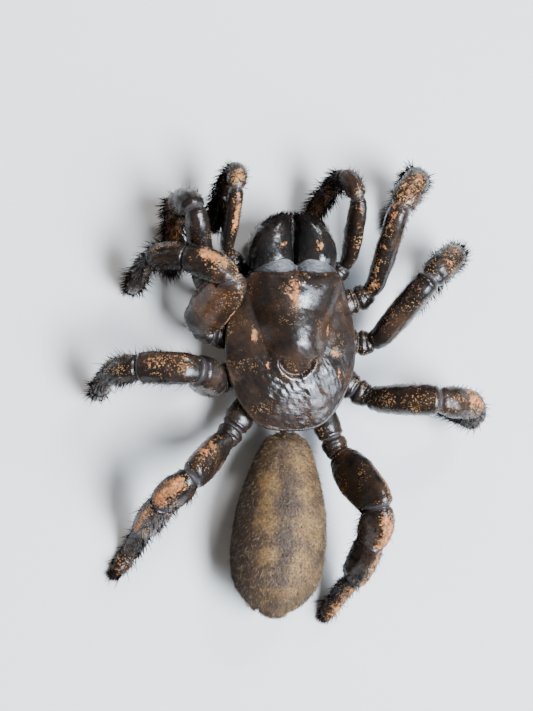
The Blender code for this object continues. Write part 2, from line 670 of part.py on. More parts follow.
def spine_rows(limb, piece, first, last):
    """The spines of one piece, leaning towards the tip of the limb, none of them under the floor."""
    half_w, half_h = GIRTHS[limb.kind][PIECES.index(piece)]
    begin, end = limb.joint_run[first], limb.joint_run[last]
    profile = np.array(PROFILES[piece])
    spines = []
    for degrees, count, low, high in SPINE_ROWS.get(f"{limb.kind}_{piece}", ()):
        for k in range(count):
            share = low + (high - low) * (k + 0.5) / count
            point, along, side, up, _ = limb.section(begin + (end - begin) * share)
            a = math.radians(degrees)
            w = half_w * np.interp(share, profile[:, 0], profile[:, 1])
            h = half_h * np.interp(share, profile[:, 0], profile[:, 2])
            outward = unit(side * math.cos(a) / w + up * math.sin(a) / h)
            skin = point + side * w * math.cos(a) + up * h * math.sin(a)
            slant = math.radians(SPINE_SLANT)
            lie = outward * math.cos(slant) + along * math.sin(slant)
            size = 1.0 - 0.25 * abs(2 * share - 1) + 0.06 * math.sin(7.0 * k + degrees)
            tip = skin + lie * SPINE_LENGTH * size
            root = skin - outward * SPINE_SUNK
            if min(tip[2], root[2] - SPINE_ROOT) > FLOOR_CLEARANCE:
                spines.append(add_cone("spine", root, tip, SPINE_ROOT * size))
    return spines


def claws(limb):
    """The two hooked claws at the tip of a foot."""
    point, along, side, _, _ = limb.section(limb.run[-1])
    made = []
    for sign in (-1, 1):
        root = point - along * CLAW_SUNK + side * sign * CLAW_SPREAD[0]
        root[2] = max(root[2], TIP_HEIGHT)
        tip = point + along * CLAW_LENGTH + side * sign * CLAW_SPREAD[1]
        tip[2] = max(tip[2], FLOOR_CLEARANCE)
        made.append(add_cone("claw", root, tip, CLAW_ROOT))
    return made


def make_limb(name):
    """The coxa with its trochanter, the femur, the patella, the tibia and the foot of one limb."""
    limb = Limb(name)
    spans = [("coxa", 0, 1), ("femur", 1, 2), ("patella", 2, 3), ("tibia", 3, 4), ("foot", 4, 6)]
    if limb.kind == "palp":
        spans = spans[:3] + [("foot", 3, 5)]
    made = []
    for piece, first, last in spans:
        obj = add_object(f"{name}_{piece}", *skin_rings(limb.piece(piece, first, last)), CUTICLE)
        grown = spine_rows(limb, piece, first, last)
        if piece == "foot":
            grown += claws(limb)
        made.append(fuse(obj, grown) if grown else obj)
    return made


def stand_on_origin(pieces):
    """Puts the middle of the whole spider's footprint at the origin, by one parent empty."""
    corners = np.array([v.co for obj in pieces for v in obj.data.vertices])
    middle = 0.5 * (corners.min(axis=0) + corners.max(axis=0))
    frame = bpy.data.objects.new("spider", None)
    bpy.context.scene.collection.objects.link(frame)
    for obj in pieces:
        obj.parent = frame
    frame.location = (-middle[0], -middle[1], 0)


def main():
    clear_scene()
    pieces = [make_carapace(), make_sternum(), make_labium(), make_pedicel()]
    pieces += [make_cheliceral_membrane(), make_abdomen()]
    for side in ("left", "right"):
        pieces += [make_chelicera(side), make_fang(side), make_spinneret(side)]
    for name in HIPS:
        pieces += make_limb(name)
    stand_on_origin(pieces)


main()
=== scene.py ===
import math

import bpy
import numpy as np
from mathutils import Matrix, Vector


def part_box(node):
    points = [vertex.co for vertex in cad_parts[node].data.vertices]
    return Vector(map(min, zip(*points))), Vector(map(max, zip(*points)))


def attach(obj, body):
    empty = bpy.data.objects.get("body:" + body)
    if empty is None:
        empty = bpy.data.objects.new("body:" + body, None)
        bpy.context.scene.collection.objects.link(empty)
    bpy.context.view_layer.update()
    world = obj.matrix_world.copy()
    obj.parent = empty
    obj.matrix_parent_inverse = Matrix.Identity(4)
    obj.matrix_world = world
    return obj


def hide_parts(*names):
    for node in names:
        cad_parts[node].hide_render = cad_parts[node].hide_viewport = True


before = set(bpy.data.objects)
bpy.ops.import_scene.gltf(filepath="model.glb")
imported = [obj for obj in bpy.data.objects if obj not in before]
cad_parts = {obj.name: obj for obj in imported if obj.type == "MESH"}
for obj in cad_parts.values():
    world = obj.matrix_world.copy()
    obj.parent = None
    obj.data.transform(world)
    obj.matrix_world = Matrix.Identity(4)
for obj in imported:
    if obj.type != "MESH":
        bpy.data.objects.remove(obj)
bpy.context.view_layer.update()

MM = 0.001
TURN = 2 * math.pi

# The body frame is the one of part.py: X to the spider's right, Y to its front, millimetres.
JAW_BACK = 5.6
low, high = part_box("carapace")
OFFSET = np.array((500 * (low[0] + high[0]), 1000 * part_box("chelicera_right")[0][1] - JAW_BACK, 0.0))

CARAPACE_HALF_OUTLINE = (
    (0.0, -4.88), (1.5, -4.72), (2.45, -4.1), (3.3, -2.9), (3.9, -1.4), (4.08, 0.2),
    (3.9, 1.9), (3.4, 3.4), (3.0, 4.3), (2.4, 4.72), (0.0, 4.78),
)
CARAPACE_FLOOR = 3.3
CARAPACE_RIM = 0.28
THORAX_RISE = 1.35
CAPUT_RISE = 1.3
CAPUT_FRONT_RIM = 1.1
FOVEA_CENTRE = np.array((0.0, -0.4))
FOVEA_RADIUS = 1.02
FOVEA_DEPTH = 0.38
FOVEA_WIDTH = 0.13
FOVEA_LIP = 0.06
SPOKES = 9  # shallow grooves that run out from the fovea
SPOKE_DEPTH = 0.07
EYE_HILL = (0.0, 4.0)
EYE_HILL_RISE = 0.28
EYES = (
    (0.16, 4.02, 0.13), (0.52, 4.28, 0.17), (0.34, 3.78, 0.09), (0.58, 3.88, 0.14),
)
STERNUM_HALF_OUTLINE = (
    (0.0, -3.4), (0.55, -3.15), (1.1, -2.3), (1.55, -1.1), (1.7, 0.5), (1.5, 2.0), (1.0, 2.8), (0.0, 2.95),
)
CHELICERA_Y = (5.6, 8.15)
CHELICERA_INNER = 0.15
CHELICERA_Z = (3.92, 3.62)
CHELICERA_HALF_WIDTH = 1.28
CHELICERA_HALF_HEIGHT = 1.4
FANG_LINE = ((1.35, 7.55, 1.52), (1.3, 6.9, 1.18), (1.2, 6.1, 1.05), (1.1, 5.3, 1.2))
ABDOMEN_YAW = math.radians(5.5)
ABDOMEN_START = -5.1
ABDOMEN_STATIONS = (
    (0.0, 0.8, 0.75, 2.55), (0.5, 1.4, 1.35, 2.6), (2.1, 2.08, 2.05, 2.7), (4.0, 2.62, 2.6, 2.78),
    (6.1, 2.92, 2.88, 2.83), (7.6, 2.9, 2.86, 2.86), (9.1, 2.6, 2.62, 2.9), (10.2, 1.85, 1.9, 2.97),
    (10.8, 0.95, 1.0, 3.0),
)
SPINNERET_ROOT = 10.1
SPINNERET_HEIGHT = 0.6
SPINNERET_LENGTH = 0.95
SPINNERET_RADII = ((0.0, 0.36), (0.35, 0.4), (0.42, 0.34), (0.68, 0.34), (0.75, 0.27), (1.0, 0.16))
SPINNERET_ACROSS = (0.49, 0.1)

# Where each coxa leaves the sternum, on the right side.
COXA_ROOTS = {
    "palp": (1.5, 3.6, 1.85),
    "leg1": (2.15, 2.3, 1.95),
    "leg2": (2.25, 0.75, 1.98),
    "leg3": (2.2, -0.9, 1.98),
    "leg4": (1.9, -2.6, 1.95),
}
# Where the trochanter hands over to the femur, on each side.
HIPS = {
    "palp_right": (3.9, 5.2, 2.45), "palp_left": (-3.85, 5.9, 2.45),
    "leg1_right": (5.5, 3.55, 2.45), "leg1_left": (-5.1, 3.55, 2.35),
    "leg2_right": (5.6, 0.4, 2.45), "leg2_left": (-5.85, 1.35, 2.6),
    "leg3_right": (5.3, -3.0, 2.45), "leg3_left": (-4.75, -2.15, 2.5),
    "leg4_right": (3.3, -6.55, 2.5), "leg4_left": (-3.95, -5.6, 2.5),
}
# Lengths of femur, patella, tibia, metatarsus and tarsus. A palp has no metatarsus.
LENGTHS = {
    "palp": (5.2, 2.1, 2.15, 2.3),
    "leg1": (6.4, 2.9, 2.5, 2.0, 1.5),
    "leg2": (5.95, 3.3, 2.5, 2.7, 1.9),
    "leg3": (5.1, 3.7, 2.4, 2.5, 1.9),
    "leg4": (5.6, 2.9, 3.6, 2.7, 1.5),
}
# Half-widths and half-heights of coxa, femur, patella, tibia and foot.
GIRTHS = {
    "palp": ((0.72, 0.68), (0.48, 0.76), (0.56, 0.64), (0.56, 0.58), (0.52, 0.5)),
    "leg1": ((0.9, 0.78), (0.68, 1.05), (0.86, 0.88), (0.78, 0.78), (0.54, 0.54)),
    "leg2": ((0.9, 0.78), (0.82, 1.36), (0.88, 0.9), (0.8, 0.8), (0.56, 0.54)),
    "leg3": ((0.92, 0.78), (0.95, 1.2), (0.95, 0.95), (0.84, 0.82), (0.58, 0.54)),
    "leg4": ((0.9, 0.78), (0.78, 1.38), (0.84, 1.08), (0.78, 1.0), (0.56, 0.58)),
}
# Swing and lift of each segment after the hip, in degrees. The last lift sets the foot down.
POSES = {
    "palp_right": ((93, 40), (112, -34), (66, -115), (62, -142)),
    "palp_left": ((91, 45), (80, -45), (70, -138), (77, -162)),
    "leg1_right": ((83, 35), (50, -30), (134, -99), (76, -143), (77, -170)),
    "leg1_left": ((105, 38), (130, -76), (96, -110), (90, -148), (86, -170)),
    "leg2_right": ((59, 38), (35, -32), (137, -99), (60, -147), (45, -170)),
    "leg2_left": ((61, 56), (154, -25), (181, -42), (250, -60), (268, -40)),
    "leg3_right": ((1, 50), (-8, -36), (-65, -60), (-35, -140), (-20, -175)),
    "leg3_left": ((143, 69), (178, -15), (195, -50), (260, -68), (272, -50)),
    "leg4_right": ((-64, 58), (-91, -42), (-99, -42), (-110, -52), (-117, -12)),
    "leg4_left": ((-150, 55), (-130, -42), (-109, -56), (-112, -46), (-127, -12)),
}
# How far a limb leans over, in degrees about its own line.
LEANS = {"leg4_right": -35.0, "leg4_left": 30.0}
BEND_REACH = 1.15  # how far before and after a joint its bend starts
INNER_SHARE = 0.62  # how near a bend's centre its inner side may come
LEVEL_SHARE = 0.3  # how strongly a segment's hinge axis is drawn level
TIP_HEIGHT = 0.3  # height of a foot's tip over the floor

# Along each piece: position, share of the half-width, share of the half-height.
PROFILES = {
    "coxa": (
        (0, 0.6, 0.72), (0.25, 0.88, 0.95), (0.55, 1, 1), (0.7, 0.8, 0.84), (0.84, 0.9, 0.92),
        (1, 0.68, 0.74),
    ),
    "femur": (
        (0, 0.74, 0.66), (0.15, 0.88, 0.84), (0.42, 1, 1), (0.72, 1, 0.93), (0.9, 1, 0.86), (1, 0.84, 0.72),
    ),
    "patella": ((0, 0.8, 0.74), (0.25, 1, 0.96), (0.55, 1, 1), (0.85, 0.98, 0.94), (1, 0.84, 0.8)),
    "tibia": ((0, 0.84, 0.82), (0.25, 1, 1), (0.6, 0.98, 0.97), (0.85, 0.93, 0.92), (1, 0.76, 0.76)),
    "foot": (
        (0, 0.88, 0.88), (0.15, 1, 1), (0.45, 0.97, 0.97), (0.56, 0.88, 0.9), (0.68, 0.98, 0.96),
        (0.9, 0.8, 0.84), (1, 0.45, 0.5),
    ),
}
PIECES = ("coxa", "femur", "patella", "tibia", "foot")

# Along each limb, where soil or clear brown shows: from and to (segment number plus share),
# degrees round it (90 is its upper side), half-width in degrees, strength.
DUST = {
    "leg2_left": (
        (2.15, 2.72, 90, 36, 1.0), (1.3, 1.98, 96, 10, 0.7), (1.9, 2.06, 110, 40, 0.6),
        (2.0, 2.95, 80, 60, 0.3), (3.2, 3.9, 80, 30, 0.4),
    ),
    "leg1_left": ((3.3, 3.9, 90, 50, 0.4),),
    "palp_left": ((1.45, 1.95, 70, 32, 0.85), (2.0, 2.5, 90, 60, 0.75)),
    "palp_right": ((1.3, 2.3, 100, 40, 0.36),),
    "leg1_right": ((0.95, 1.25, 90, 40, 0.7), (1.2, 2.1, 110, 40, 0.4), (2.1, 2.8, 90, 52, 0.6)),
    "leg2_right": ((1.0, 1.12, 90, 30, 0.4), (1.2, 2.0, 100, 40, 0.36), (2.25, 2.85, 90, 45, 0.5)),
    "leg3_right": (
        (1.1, 1.95, 90, 60, 0.32), (2.05, 2.4, 95, 48, 0.4), (2.4, 2.95, 95, 45, 0.8),
        (3.1, 3.9, 90, 45, 0.4),
    ),
    "leg3_left": ((2.15, 2.9, 90, 46, 0.48), (3.1, 3.9, 90, 40, 0.32)),
    "leg4_right": (
        (1.2, 1.97, 98, 13, 0.8), (2.08, 2.95, 62, 36, 1.0), (3.0, 4.0, 80, 22, 0.72),
        (4.1, 6.0, 90, 90, 0.7),
    ),
    "leg4_left": ((1.5, 1.95, 90, 36, 0.66), (2.1, 2.85, 100, 46, 1.0), (3.0, 3.85, 90, 36, 0.7)),
}
AMBER = {
    "leg1_left": ((2.7, 5.0, 90, 400, 1.0),),
    "leg4_right": ((1.2, 1.95, 200, 45, 0.85), (3.0, 4.0, 200, 60, 0.5)),
    "leg2_left": ((1.3, 1.95, 200, 60, 0.6),),
}
# On the shield and the jaws: x, y, half-width, half-length, strength.
SHIELD_DUST = (
    (-0.36, 3.3, 0.34, 1.15, 1.0), (-0.85, 3.5, 0.3, 0.4, 0.7), (-2.5, 0.95, 0.24, 0.5, 0.9),
    (1.97, 1.24, 0.3, 0.28, 0.85), (2.5, -0.12, 0.36, 0.26, 0.9), (-1.65, -0.85, 0.22, 0.4, 0.75),
    (0.0, -1.4, 0.75, 0.11, 0.75), (2.75, -1.4, 0.2, 0.4, 0.7), (0.3, 4.6, 1.6, 0.18, 0.5),
    (1.1, -0.6, 0.2, 0.5, 0.5),
)
JAW_DUST = (
    (1.25, 6.35, 0.3, 0.5, 0.8), (-0.95, 6.5, 0.4, 0.25, 0.6), (0.9, 7.9, 0.9, 0.3, 0.3),
    (-0.9, 7.9, 0.9, 0.3, 0.3),
)
# On the abdomen: distance behind the waist, how far to the right, half-length, half-width, strength.
BLOTCHES = (
    (2.9, -1.3, 0.75, 0.6, 0.75), (1.8, 0.55, 0.6, 0.5, 0.6), (3.3, 0.85, 0.6, 0.5, 0.55),
    (4.2, -1.5, 0.5, 0.5, 0.35), (5.4, 1.1, 0.75, 0.62, 1.0), (5.3, -1.5, 0.55, 0.65, 0.7),
    (7.2, -1.15, 0.55, 0.55, 0.75), (7.5, 0.8, 0.7, 0.6, 0.95), (9.3, 0.2, 0.3, 1.5, 0.45),
)
MEDIAN_BAND = (-0.15, 0.55, 2.4, 8.0)  # how far to the right, half-width, from and to

CUTICLE_DARK = (0.0052, 0.0038, 0.0031)
CUTICLE_BROWN = (0.022, 0.0115, 0.0068)
JAW_DARK = (0.0032, 0.003, 0.0029)
JAW_BROWN = (0.0105, 0.0078, 0.0062)
AMBER_BROWN = (0.072, 0.027, 0.009)
SPECKLE = (0.19, 0.105, 0.042)
JOINT_GREY = (0.018, 0.0155, 0.016)
SOIL_ORANGE = (0.3, 0.094, 0.027)
SOIL_TAN = (0.2, 0.098, 0.038)
SOIL_PALE = (0.34, 0.165, 0.072)
# Dark flecks in the soil patches, as painted shade between its crumbs.
SOIL_PAINTED_SHADE = (0.062, 0.025, 0.011)
BRISTLE_DARK = (0.004, 0.003, 0.0028)
BRISTLE_BROWN = (0.02, 0.0115, 0.0075)
VELVET_DARK = (0.026, 0.0165, 0.0115)
VELVET_GOLD = (0.15, 0.084, 0.028)
# Pale gold for a few hairs scattered through the velvet, as painted glints.
VELVET_PAINTED_GLINT = (0.36, 0.25, 0.13)
MEMBRANE_DARK = (0.01, 0.0095, 0.01)
MEMBRANE_PALE = (0.034, 0.033, 0.038)
FANG_DARK = (0.03, 0.006, 0.004)
FANG_RED = (0.09, 0.02, 0.01)
SPINE_DARK = (0.012, 0.008, 0.007)
SPINE_BROWN = (0.05, 0.02, 0.012)
EYE_DARK = (0.012, 0.009, 0.008)
EYE_BROWN = (0.09, 0.05, 0.025)
FLOOR_DARK = (0.272, 0.267, 0.26)
FLOOR_PALE = (0.295, 0.29, 0.283)

# Underside of the body: share of an outline's reach, and height.
STERNUM_CENTRE = (0.0, -0.2)
STERNUM_LEVELS = (
    (0.02, 1.16), (0.3, 1.18), (0.55, 1.22), (0.8, 1.32), (0.93, 1.42), (1.0, 1.6), (1.02, 1.85),
    (1.0, 2.95), (0.3, 2.96),
)
FLANK_LEVELS = (
    (0.3, 1.75), (0.62, 1.8), (0.74, 2.1), (0.78, 2.5), (0.84, 2.9), (0.9, 3.2), (0.9, 3.42), (0.3, 3.45),
)
# The lip: y, centre x, centre z, half-width, half-height.
LABIUM_STATIONS = (
    (3.1, 0, 1.85, 0.62, 0.5), (3.4, 0, 1.85, 0.66, 0.53), (3.8, 0, 1.85, 0.64, 0.52),
    (4.1, 0, 1.85, 0.52, 0.44),
)
SHIELD_SIDES = 260
SHIELD_RINGS = 120  # from its middle to the start of its rounded margin
TOP_RINGS = 118
MARGIN_RINGS = (104, 128)
SHIELD_ROUND = 0.13
SHIELD_FRONT_REACH = 0.14  # how far the front margin laps over the fold
RAKE_SPINES = 15
RAKE_FRONT = 8.4
JAW_HIND = 4.85
FOLD_START = 4.5
FOLD_LOBE = (1.1, 1.62, 1.42)  # how far out each arc is centred, its half-width and half-height
RING_STEP = 0.085
LIMB_SIDES = 52
LIMB_SQUARENESS = 2.25
STRAIGHT_SAMPLES = 8
BEND_SAMPLES = 17
BEND_LIMIT = 0.46  # share of a segment that one of its bends may take up
HINGE_SPAN = 0.36  # how far before and after a hinge its rings lie closer
HINGE_RINGS = 25
HINGE_WIDTH = 0.085
HINGE_WAIST = 0.15
HIND_LIP = (0.045, -0.24, 0.085)  # swelling, distance from the hinge, width
FRONT_LIP = (0.03, 0.26, 0.1)
GIRTH_BLUR = 0.16  # how far along a limb its girth is smoothed
TROCHANTER_SHARE = 0.72
RIDGE_HEIGHT = 0.035
RIDGE_COUNT = 9
RIDGED_SEGMENTS = (2, 3)
FOLD_DEPTH = 0.012
FOLD_RATE = 95  # radians of a joint's folds to the millimetre
TIP_DOME = 0.16
SPOT_FADE = 0.12
FOOT_DUST = 0.28
COAT_DEPTH = 0.09
FLOOR_MARGIN = 0.002
PATCH = 0.003  # side of a hair's own place on the OFBake map
HAIR_SINK = 0.03
RISE_SPREAD = 9
HAIR_SHARE = 0.62
# From and to along a limb, how many hairs, their lengths, radii and rise, then where they stand:
# evenly, on the underside and on the flanks.
LIMB_HAIRS = (
    (0.3, 1, 150, (0.15, 0.36), (0.011, 0.016), 32, (1, 0, 0)),
    (1, 2, 300, (0.16, 0.36), (0.011, 0.018), 34, (0.06, 0.7, 0.3)),
    (2, 3, 420, (0.18, 0.4), (0.012, 0.018), 36, (0.1, 0.6, 0.8)),
    (3, 4, 560, (0.2, 0.42), (0.012, 0.02), 38, (0.25, 0.6, 0.8)),
    (4, 6, 1150, (0.2, 0.45), (0.012, 0.02), 40, (0.35, 0.6, 0.6)),
)
HIND_SPINES = 0.3  # share of the spines that legs III and IV have
ABDOMEN_HAIRS = (15500, 17500)

VIEW_LEAN = 13.0
VIEW_HEIGHT = 3.0
VIEW_DISTANCE = 95.0
PIXEL = 0.061
VIEW_RIGHT = 22.5
VIEW_DOWN = 4.5
IMAGE_ROWS = 711
WORLD_COLOUR = (0.85, 0.9, 1.0)
WORLD_STRENGTH = 0.2
LIGHTS = (
    ("key", (0.12, -0.05, 0.3), (0.11, 0.2), 8.5, (0.82, 0.9, 1.0), True),
    ("sky", (0.24, -0.17, 0.27), (0.28, 0.26), 5.4, (0.7, 0.82, 1.0), True),
    ("front", (0.1, 0.24, 0.26), (0.08, 0.06), 1.7, (0.95, 0.97, 1.0), True),
    ("fill", (-0.3, 0.0, 0.22), (0.3, 0.3), 0.9, (1.0, 0.92, 0.82), False),
)


def unit(v):
    return v / np.maximum(np.linalg.norm(v, axis=-1, keepdims=True), 1e-12)


def smooth_step(value, low, high):
    t = np.clip((value - low) / (high - low), 0, 1)
    return t * t * (3 - 2 * t)


def bump(value, centre, width):
    """A round hump of height 1."""
    return np.exp(-(((value - centre) / width) ** 2))


def ripple(points, size, seed, octaves=3):
    """Smooth seeded noise of about -1 to 1, with features of the given size in millimetres."""
    draw = np.random.default_rng(seed)
    total = np.zeros(points.shape[:-1])
    for octave in range(octaves):
        for _ in range(7):
            way = draw.normal(size=3)
            way *= TURN / (size * 0.5**octave) / np.linalg.norm(way)
            total += 0.5**octave * np.sin(points @ way + draw.uniform(0, TURN))
    return total / 4


def smooth_through(points, steps, closed=False):
    """Catmull-Rom curve through the points, with steps samples between neighbours."""
    pts = np.array(points, float)
    if closed:
        pts = np.vstack([pts[-1], pts, pts[0], pts[1]])
    else:
        pts = np.vstack([2 * pts[0] - pts[1], pts, 2 * pts[-1] - pts[-2]])
    out = []
    for a, b, c, d in zip(pts, pts[1:], pts[2:], pts[3:]):
        for t in np.arange(steps) / steps:
            bend, twist = 2 * a - 5 * b + 4 * c - d, 3 * b - a - 3 * c + d
            out.append(0.5 * (2 * b + (c - a) * t + bend * t**2 + twist * t**3))
    if not closed:
        out.append(pts[-2])
    return np.array(out)


def closed_outline(half_outline):
    left = [(-x, y) for x, y in reversed(half_outline[1:-1])]
    return smooth_through(list(half_outline) + left, 12, closed=True)


def outline_reach(outline, centre, angles):
    """How far the outline lies from a centre inside it, in each direction."""
    offset = outline - np.array(centre)
    around = np.arctan2(offset[:, 1], offset[:, 0])
    order = np.argsort(around)
    return np.interp(angles, around[order], np.hypot(*offset.T)[order], period=TURN)


class Skin:
    """A closed body through rings of points, which may carry values for its material and its hairs."""

    def __init__(self, points):
        self.points = points
        self.values = {}
        self.measure()

    def measure(self):
        along = np.gradient(self.points, axis=0)
        around = np.roll(self.points, -1, axis=1) - np.roll(self.points, 1, axis=1)
        normal = np.cross(around, along)
        middle = self.points.mean(axis=1, keepdims=True)
        inward = (normal * (self.points - middle)).sum() < 0
        self.area = np.linalg.norm(normal, axis=-1)
        self.normal = unit(-normal if inward else normal)
        self.along = unit(along)

    def carry(self, **values):
        """Keeps values for the material and the hairs, each one number or a grid."""
        for key, value in values.items():
            self.values[key] = value * np.ones(self.points.shape[:2])
        return self

    def push(self, height):
        """Moves every point out along its normal, by a height in millimetres."""
        self.points = self.points + self.normal * height[..., None]
        self.points[..., 2] = np.maximum(self.points[..., 2], 0.0)
        self.measure()

    def faces(self):
        """Rows of four corners: the side, then a fan at each end with its hub given twice."""
        rows, count = self.points.shape[:2]
        corner = np.arange(rows * count).reshape(rows, count)
        after = np.roll(corner, -1, axis=1)
        side = np.stack([corner[:-1], after[:-1], after[1:], corner[1:]], axis=-1).reshape(-1, 4)
        first, last = rows * count, rows * count + 1
        start = np.stack([after[0], corner[0], np.full(count, first)], axis=-1)
        end = np.stack([corner[-1], after[-1], np.full(count, last)], axis=-1)
        return side, np.vstack([start, end])

    def build(self, name, stuff, slot, replaced=()):
        side, ends = self.faces()
        hubs = np.stack([self.points[0].mean(axis=0), self.points[-1].mean(axis=0)])
        points = np.vstack([self.points.reshape(-1, 3), hubs])
        flat = {key: value.reshape(-1) for key, value in self.values.items()}
        values = {key: np.concatenate([value, value[:1], value[-1:]]) for key, value in flat.items()}
        return add_piece(name, points, [side, ends], stuff, replaced, values)


def add_piece(name, points, face_sets, stuff, replaced=(), values=None, uv=None):
    """A mesh piece from points in the body frame. Its faces are turned outwards by its volume."""
    faces = [np.asarray(f) for f in face_sets]
    volume = 0.0
    for f in faces:
        for k in range(1, f.shape[1] - 1):
            a, b, c = points[f[:, 0]], points[f[:, k]], points[f[:, k + 1]]
            volume += np.einsum("ij,ij->", a, np.cross(b, c))
    if volume < 0:
        faces = [f[:, ::-1] for f in faces]
    mesh = bpy.data.meshes.new(name)
    corners = np.concatenate([f.reshape(-1) for f in faces]).astype(np.int32)
    sizes = np.concatenate([np.full(len(f), f.shape[1]) for f in faces])
    starts = np.concatenate([[0], np.cumsum(sizes)[:-1]]).astype(np.int32)
    mesh.vertices.add(len(points))
    mesh.vertices.foreach_set("co", ((points + OFFSET) * MM).astype(np.float32).reshape(-1))
    mesh.loops.add(len(corners))
    mesh.loops.foreach_set("vertex_index", corners)
    mesh.polygons.add(len(starts))
    mesh.polygons.foreach_set("loop_start", starts)
    mesh.update(calc_edges=True)
    for key, value in (values or {}).items():
        layer = mesh.attributes.new(key, "FLOAT", "POINT")
        layer.data.foreach_set("value", np.ascontiguousarray(value, np.float32))
    if uv is not None:
        layer = mesh.uv_layers.new(name="OFBake")
        layer.data.foreach_set("uv", uv[corners].astype(np.float32).reshape(-1))
    mesh.validate()
    mesh.shade_smooth()
    mesh.materials.append(stuff)
    obj = bpy.data.objects.new(name, mesh)
    bpy.context.scene.collection.objects.link(obj)
    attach(obj, "root")
    if replaced:
        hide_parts(*replaced)
    return obj


def round_ends(points, start=0.0, end=0.0, steps=6):
    """Adds rings that close an end as a dome. start and end are how far each dome stands out."""
    rings = [points]
    for reach, at, inner in ((start, 0, 1), (end, -1, -2)):
        if not reach:
            continue
        middle = points[at].mean(axis=0)
        way = unit(middle - points[inner].mean(axis=0))
        dome = []
        for k in range(1, steps + 1):
            a = 0.97 * k / steps * math.pi / 2
            dome.append(middle + (points[at] - middle) * math.cos(a) + way * reach * math.sin(a))
        dome = np.array(dome)
        rings = [dome[::-1]] + rings if at == 0 else rings + [dome]
    return np.concatenate(rings)


class Limb:
    """The centre line of a limb, smooth through its joints, and the rings round it."""

    def __init__(self, name):
        self.name = name
        self.kind, side = name.split("_")
        mirror = np.array((1 if side == "right" else -1, 1, 1))
        root, hip = np.array(COXA_ROOTS[self.kind]) * mirror, np.array(HIPS[name])
        self.joints = [root, hip]
        self.swings = [math.degrees(math.atan2(hip[1] - root[1], hip[0] - root[0]))]
        for length, (swing, lift) in zip(LENGTHS[self.kind], POSES[name]):
            if len(self.joints) == 6:
                drop = math.degrees(math.asin(min(1.0, (self.joints[-1][2] - TIP_HEIGHT) / length)))
                lift = -drop if lift > -90 else drop - 180
            s, l = math.radians(swing), math.radians(lift)
            step = np.array((math.cos(l) * math.cos(s), math.cos(l) * math.sin(s), math.sin(l)))
            self.joints.append(self.joints[-1] + length * step)
            self.swings.append(swing)
        self.headings = [unit(b - a) for a, b in zip(self.joints, self.joints[1:])]
        self.sides = self.side_directions(math.radians(LEANS.get(name, 0.0)))
        self.trace()

    def side_directions(self, lean):
        """Each segment's hinge axis: square to the plane it bends in, then leaned about itself."""
        found = []
        for i, (heading, swing) in enumerate(zip(self.headings, self.swings)):
            level = np.array((math.sin(math.radians(swing)), -math.cos(math.radians(swing)), 0))
            total = LEVEL_SHARE * level
            for j in (i - 1, i):
                if j < 1 or j + 1 >= len(self.headings):
                    continue
                hinge = -np.cross(self.headings[j], self.headings[j + 1])
                total = total + (hinge if hinge.dot(level) > 0 else -hinge)
            side = unit(total - heading * heading.dot(total))
            if i:
                side = side * math.cos(lean) + np.cross(heading, side) * math.sin(lean)
            found.append(side)
        return found

    def trace(self):
        """Samples of the line: straight stretches joined by a round bend at each joint."""
        line, along, across, inward, marks = [], [], [], [], [0]
        count = len(self.headings)
        lengths = [np.linalg.norm(b - a) for a, b in zip(self.joints, self.joints[1:])]
        bends = [min(BEND_REACH, BEND_LIMIT * a, BEND_LIMIT * b) for a, b in zip(lengths, lengths[1:])]
        reach = [0, *bends, 0]
        for i in range(count):
            heading = self.headings[i]
            start = self.joints[i] + heading * reach[i]
            end = self.joints[i + 1] - heading * reach[i + 1]
            for t in np.linspace(0, 1, STRAIGHT_SAMPLES):
                line.append(start + (end - start) * t)
                along.append(heading)
                across.append(self.sides[i])
                inward.append(np.zeros(3))
            if i + 1 == count:
                continue
            after = self.headings[i + 1]
            turn = math.acos(max(-1.0, min(1.0, heading.dot(after))))
            toward = unit(after - heading * heading.dot(after))
            radius = reach[i + 1] / math.tan(turn / 2)
            for t in np.linspace(0, 1, BEND_SAMPLES)[1:-1]:
                ahead = heading * math.cos(turn * t) + toward * math.sin(turn * t)
                outward = heading * math.sin(turn * t) - toward * math.cos(turn * t)
                line.append(end + toward * radius + outward * radius)
                along.append(ahead)
                across.append((1 - t) * self.sides[i] + t * self.sides[i + 1])
                inward.append(-outward / radius)
                if abs(t - 0.5) < 1e-6:
                    marks.append(len(line) - 1)
        marks.append(len(line) - 1)
        self.samples = np.hstack([np.array(line), np.array(along), np.array(across), np.array(inward)])
        steps = np.linalg.norm(np.diff(self.samples[:, :3], axis=0), axis=1)
        self.run = np.concatenate([[0], np.cumsum(steps)])
        self.joint_run = [self.run[m] for m in marks]

    def section(self, run):
        """Point, heading, side, upper side and curvature at distances along the limb."""
        values = np.stack([np.interp(run, self.run, column) for column in self.samples.T], axis=-1)
        point, along, side, inward = (values[..., k : k + 3] for k in (0, 3, 6, 9))
        along = unit(along)
        side = unit(side - along * (side * along).sum(axis=-1, keepdims=True))
        return point, along, side, np.cross(side, along), inward

    def tubes(self):
        """Half-width and half-height along the limb, from its pieces' profiles."""
        spans = [("coxa", 0, 1), ("femur", 1, 2), ("patella", 2, 3), ("tibia", 3, 4), ("foot", 4, 6)]
        if self.kind == "palp":
            spans = spans[:3] + [("foot", 3, 5)]
        runs, wide, tall = [], [], []
        for piece, first, last in spans:
            half_w, half_h = GIRTHS[self.kind][PIECES.index(piece)]
            begin, end = self.joint_run[first], self.joint_run[last]
            for share, w, h in PROFILES[piece]:
                runs.append(begin + (end - begin) * min(max(share, 1e-4), 1 - 1e-4))
                wide.append(half_w * w)
                tall.append(half_h * h)
        return runs, wide, tall

    def hinges(self):
        """The joints with a soft membrane: behind the trochanter, then one at each joint."""
        return [TROCHANTER_SHARE * self.joint_run[1], *self.joint_run[1:-1]]


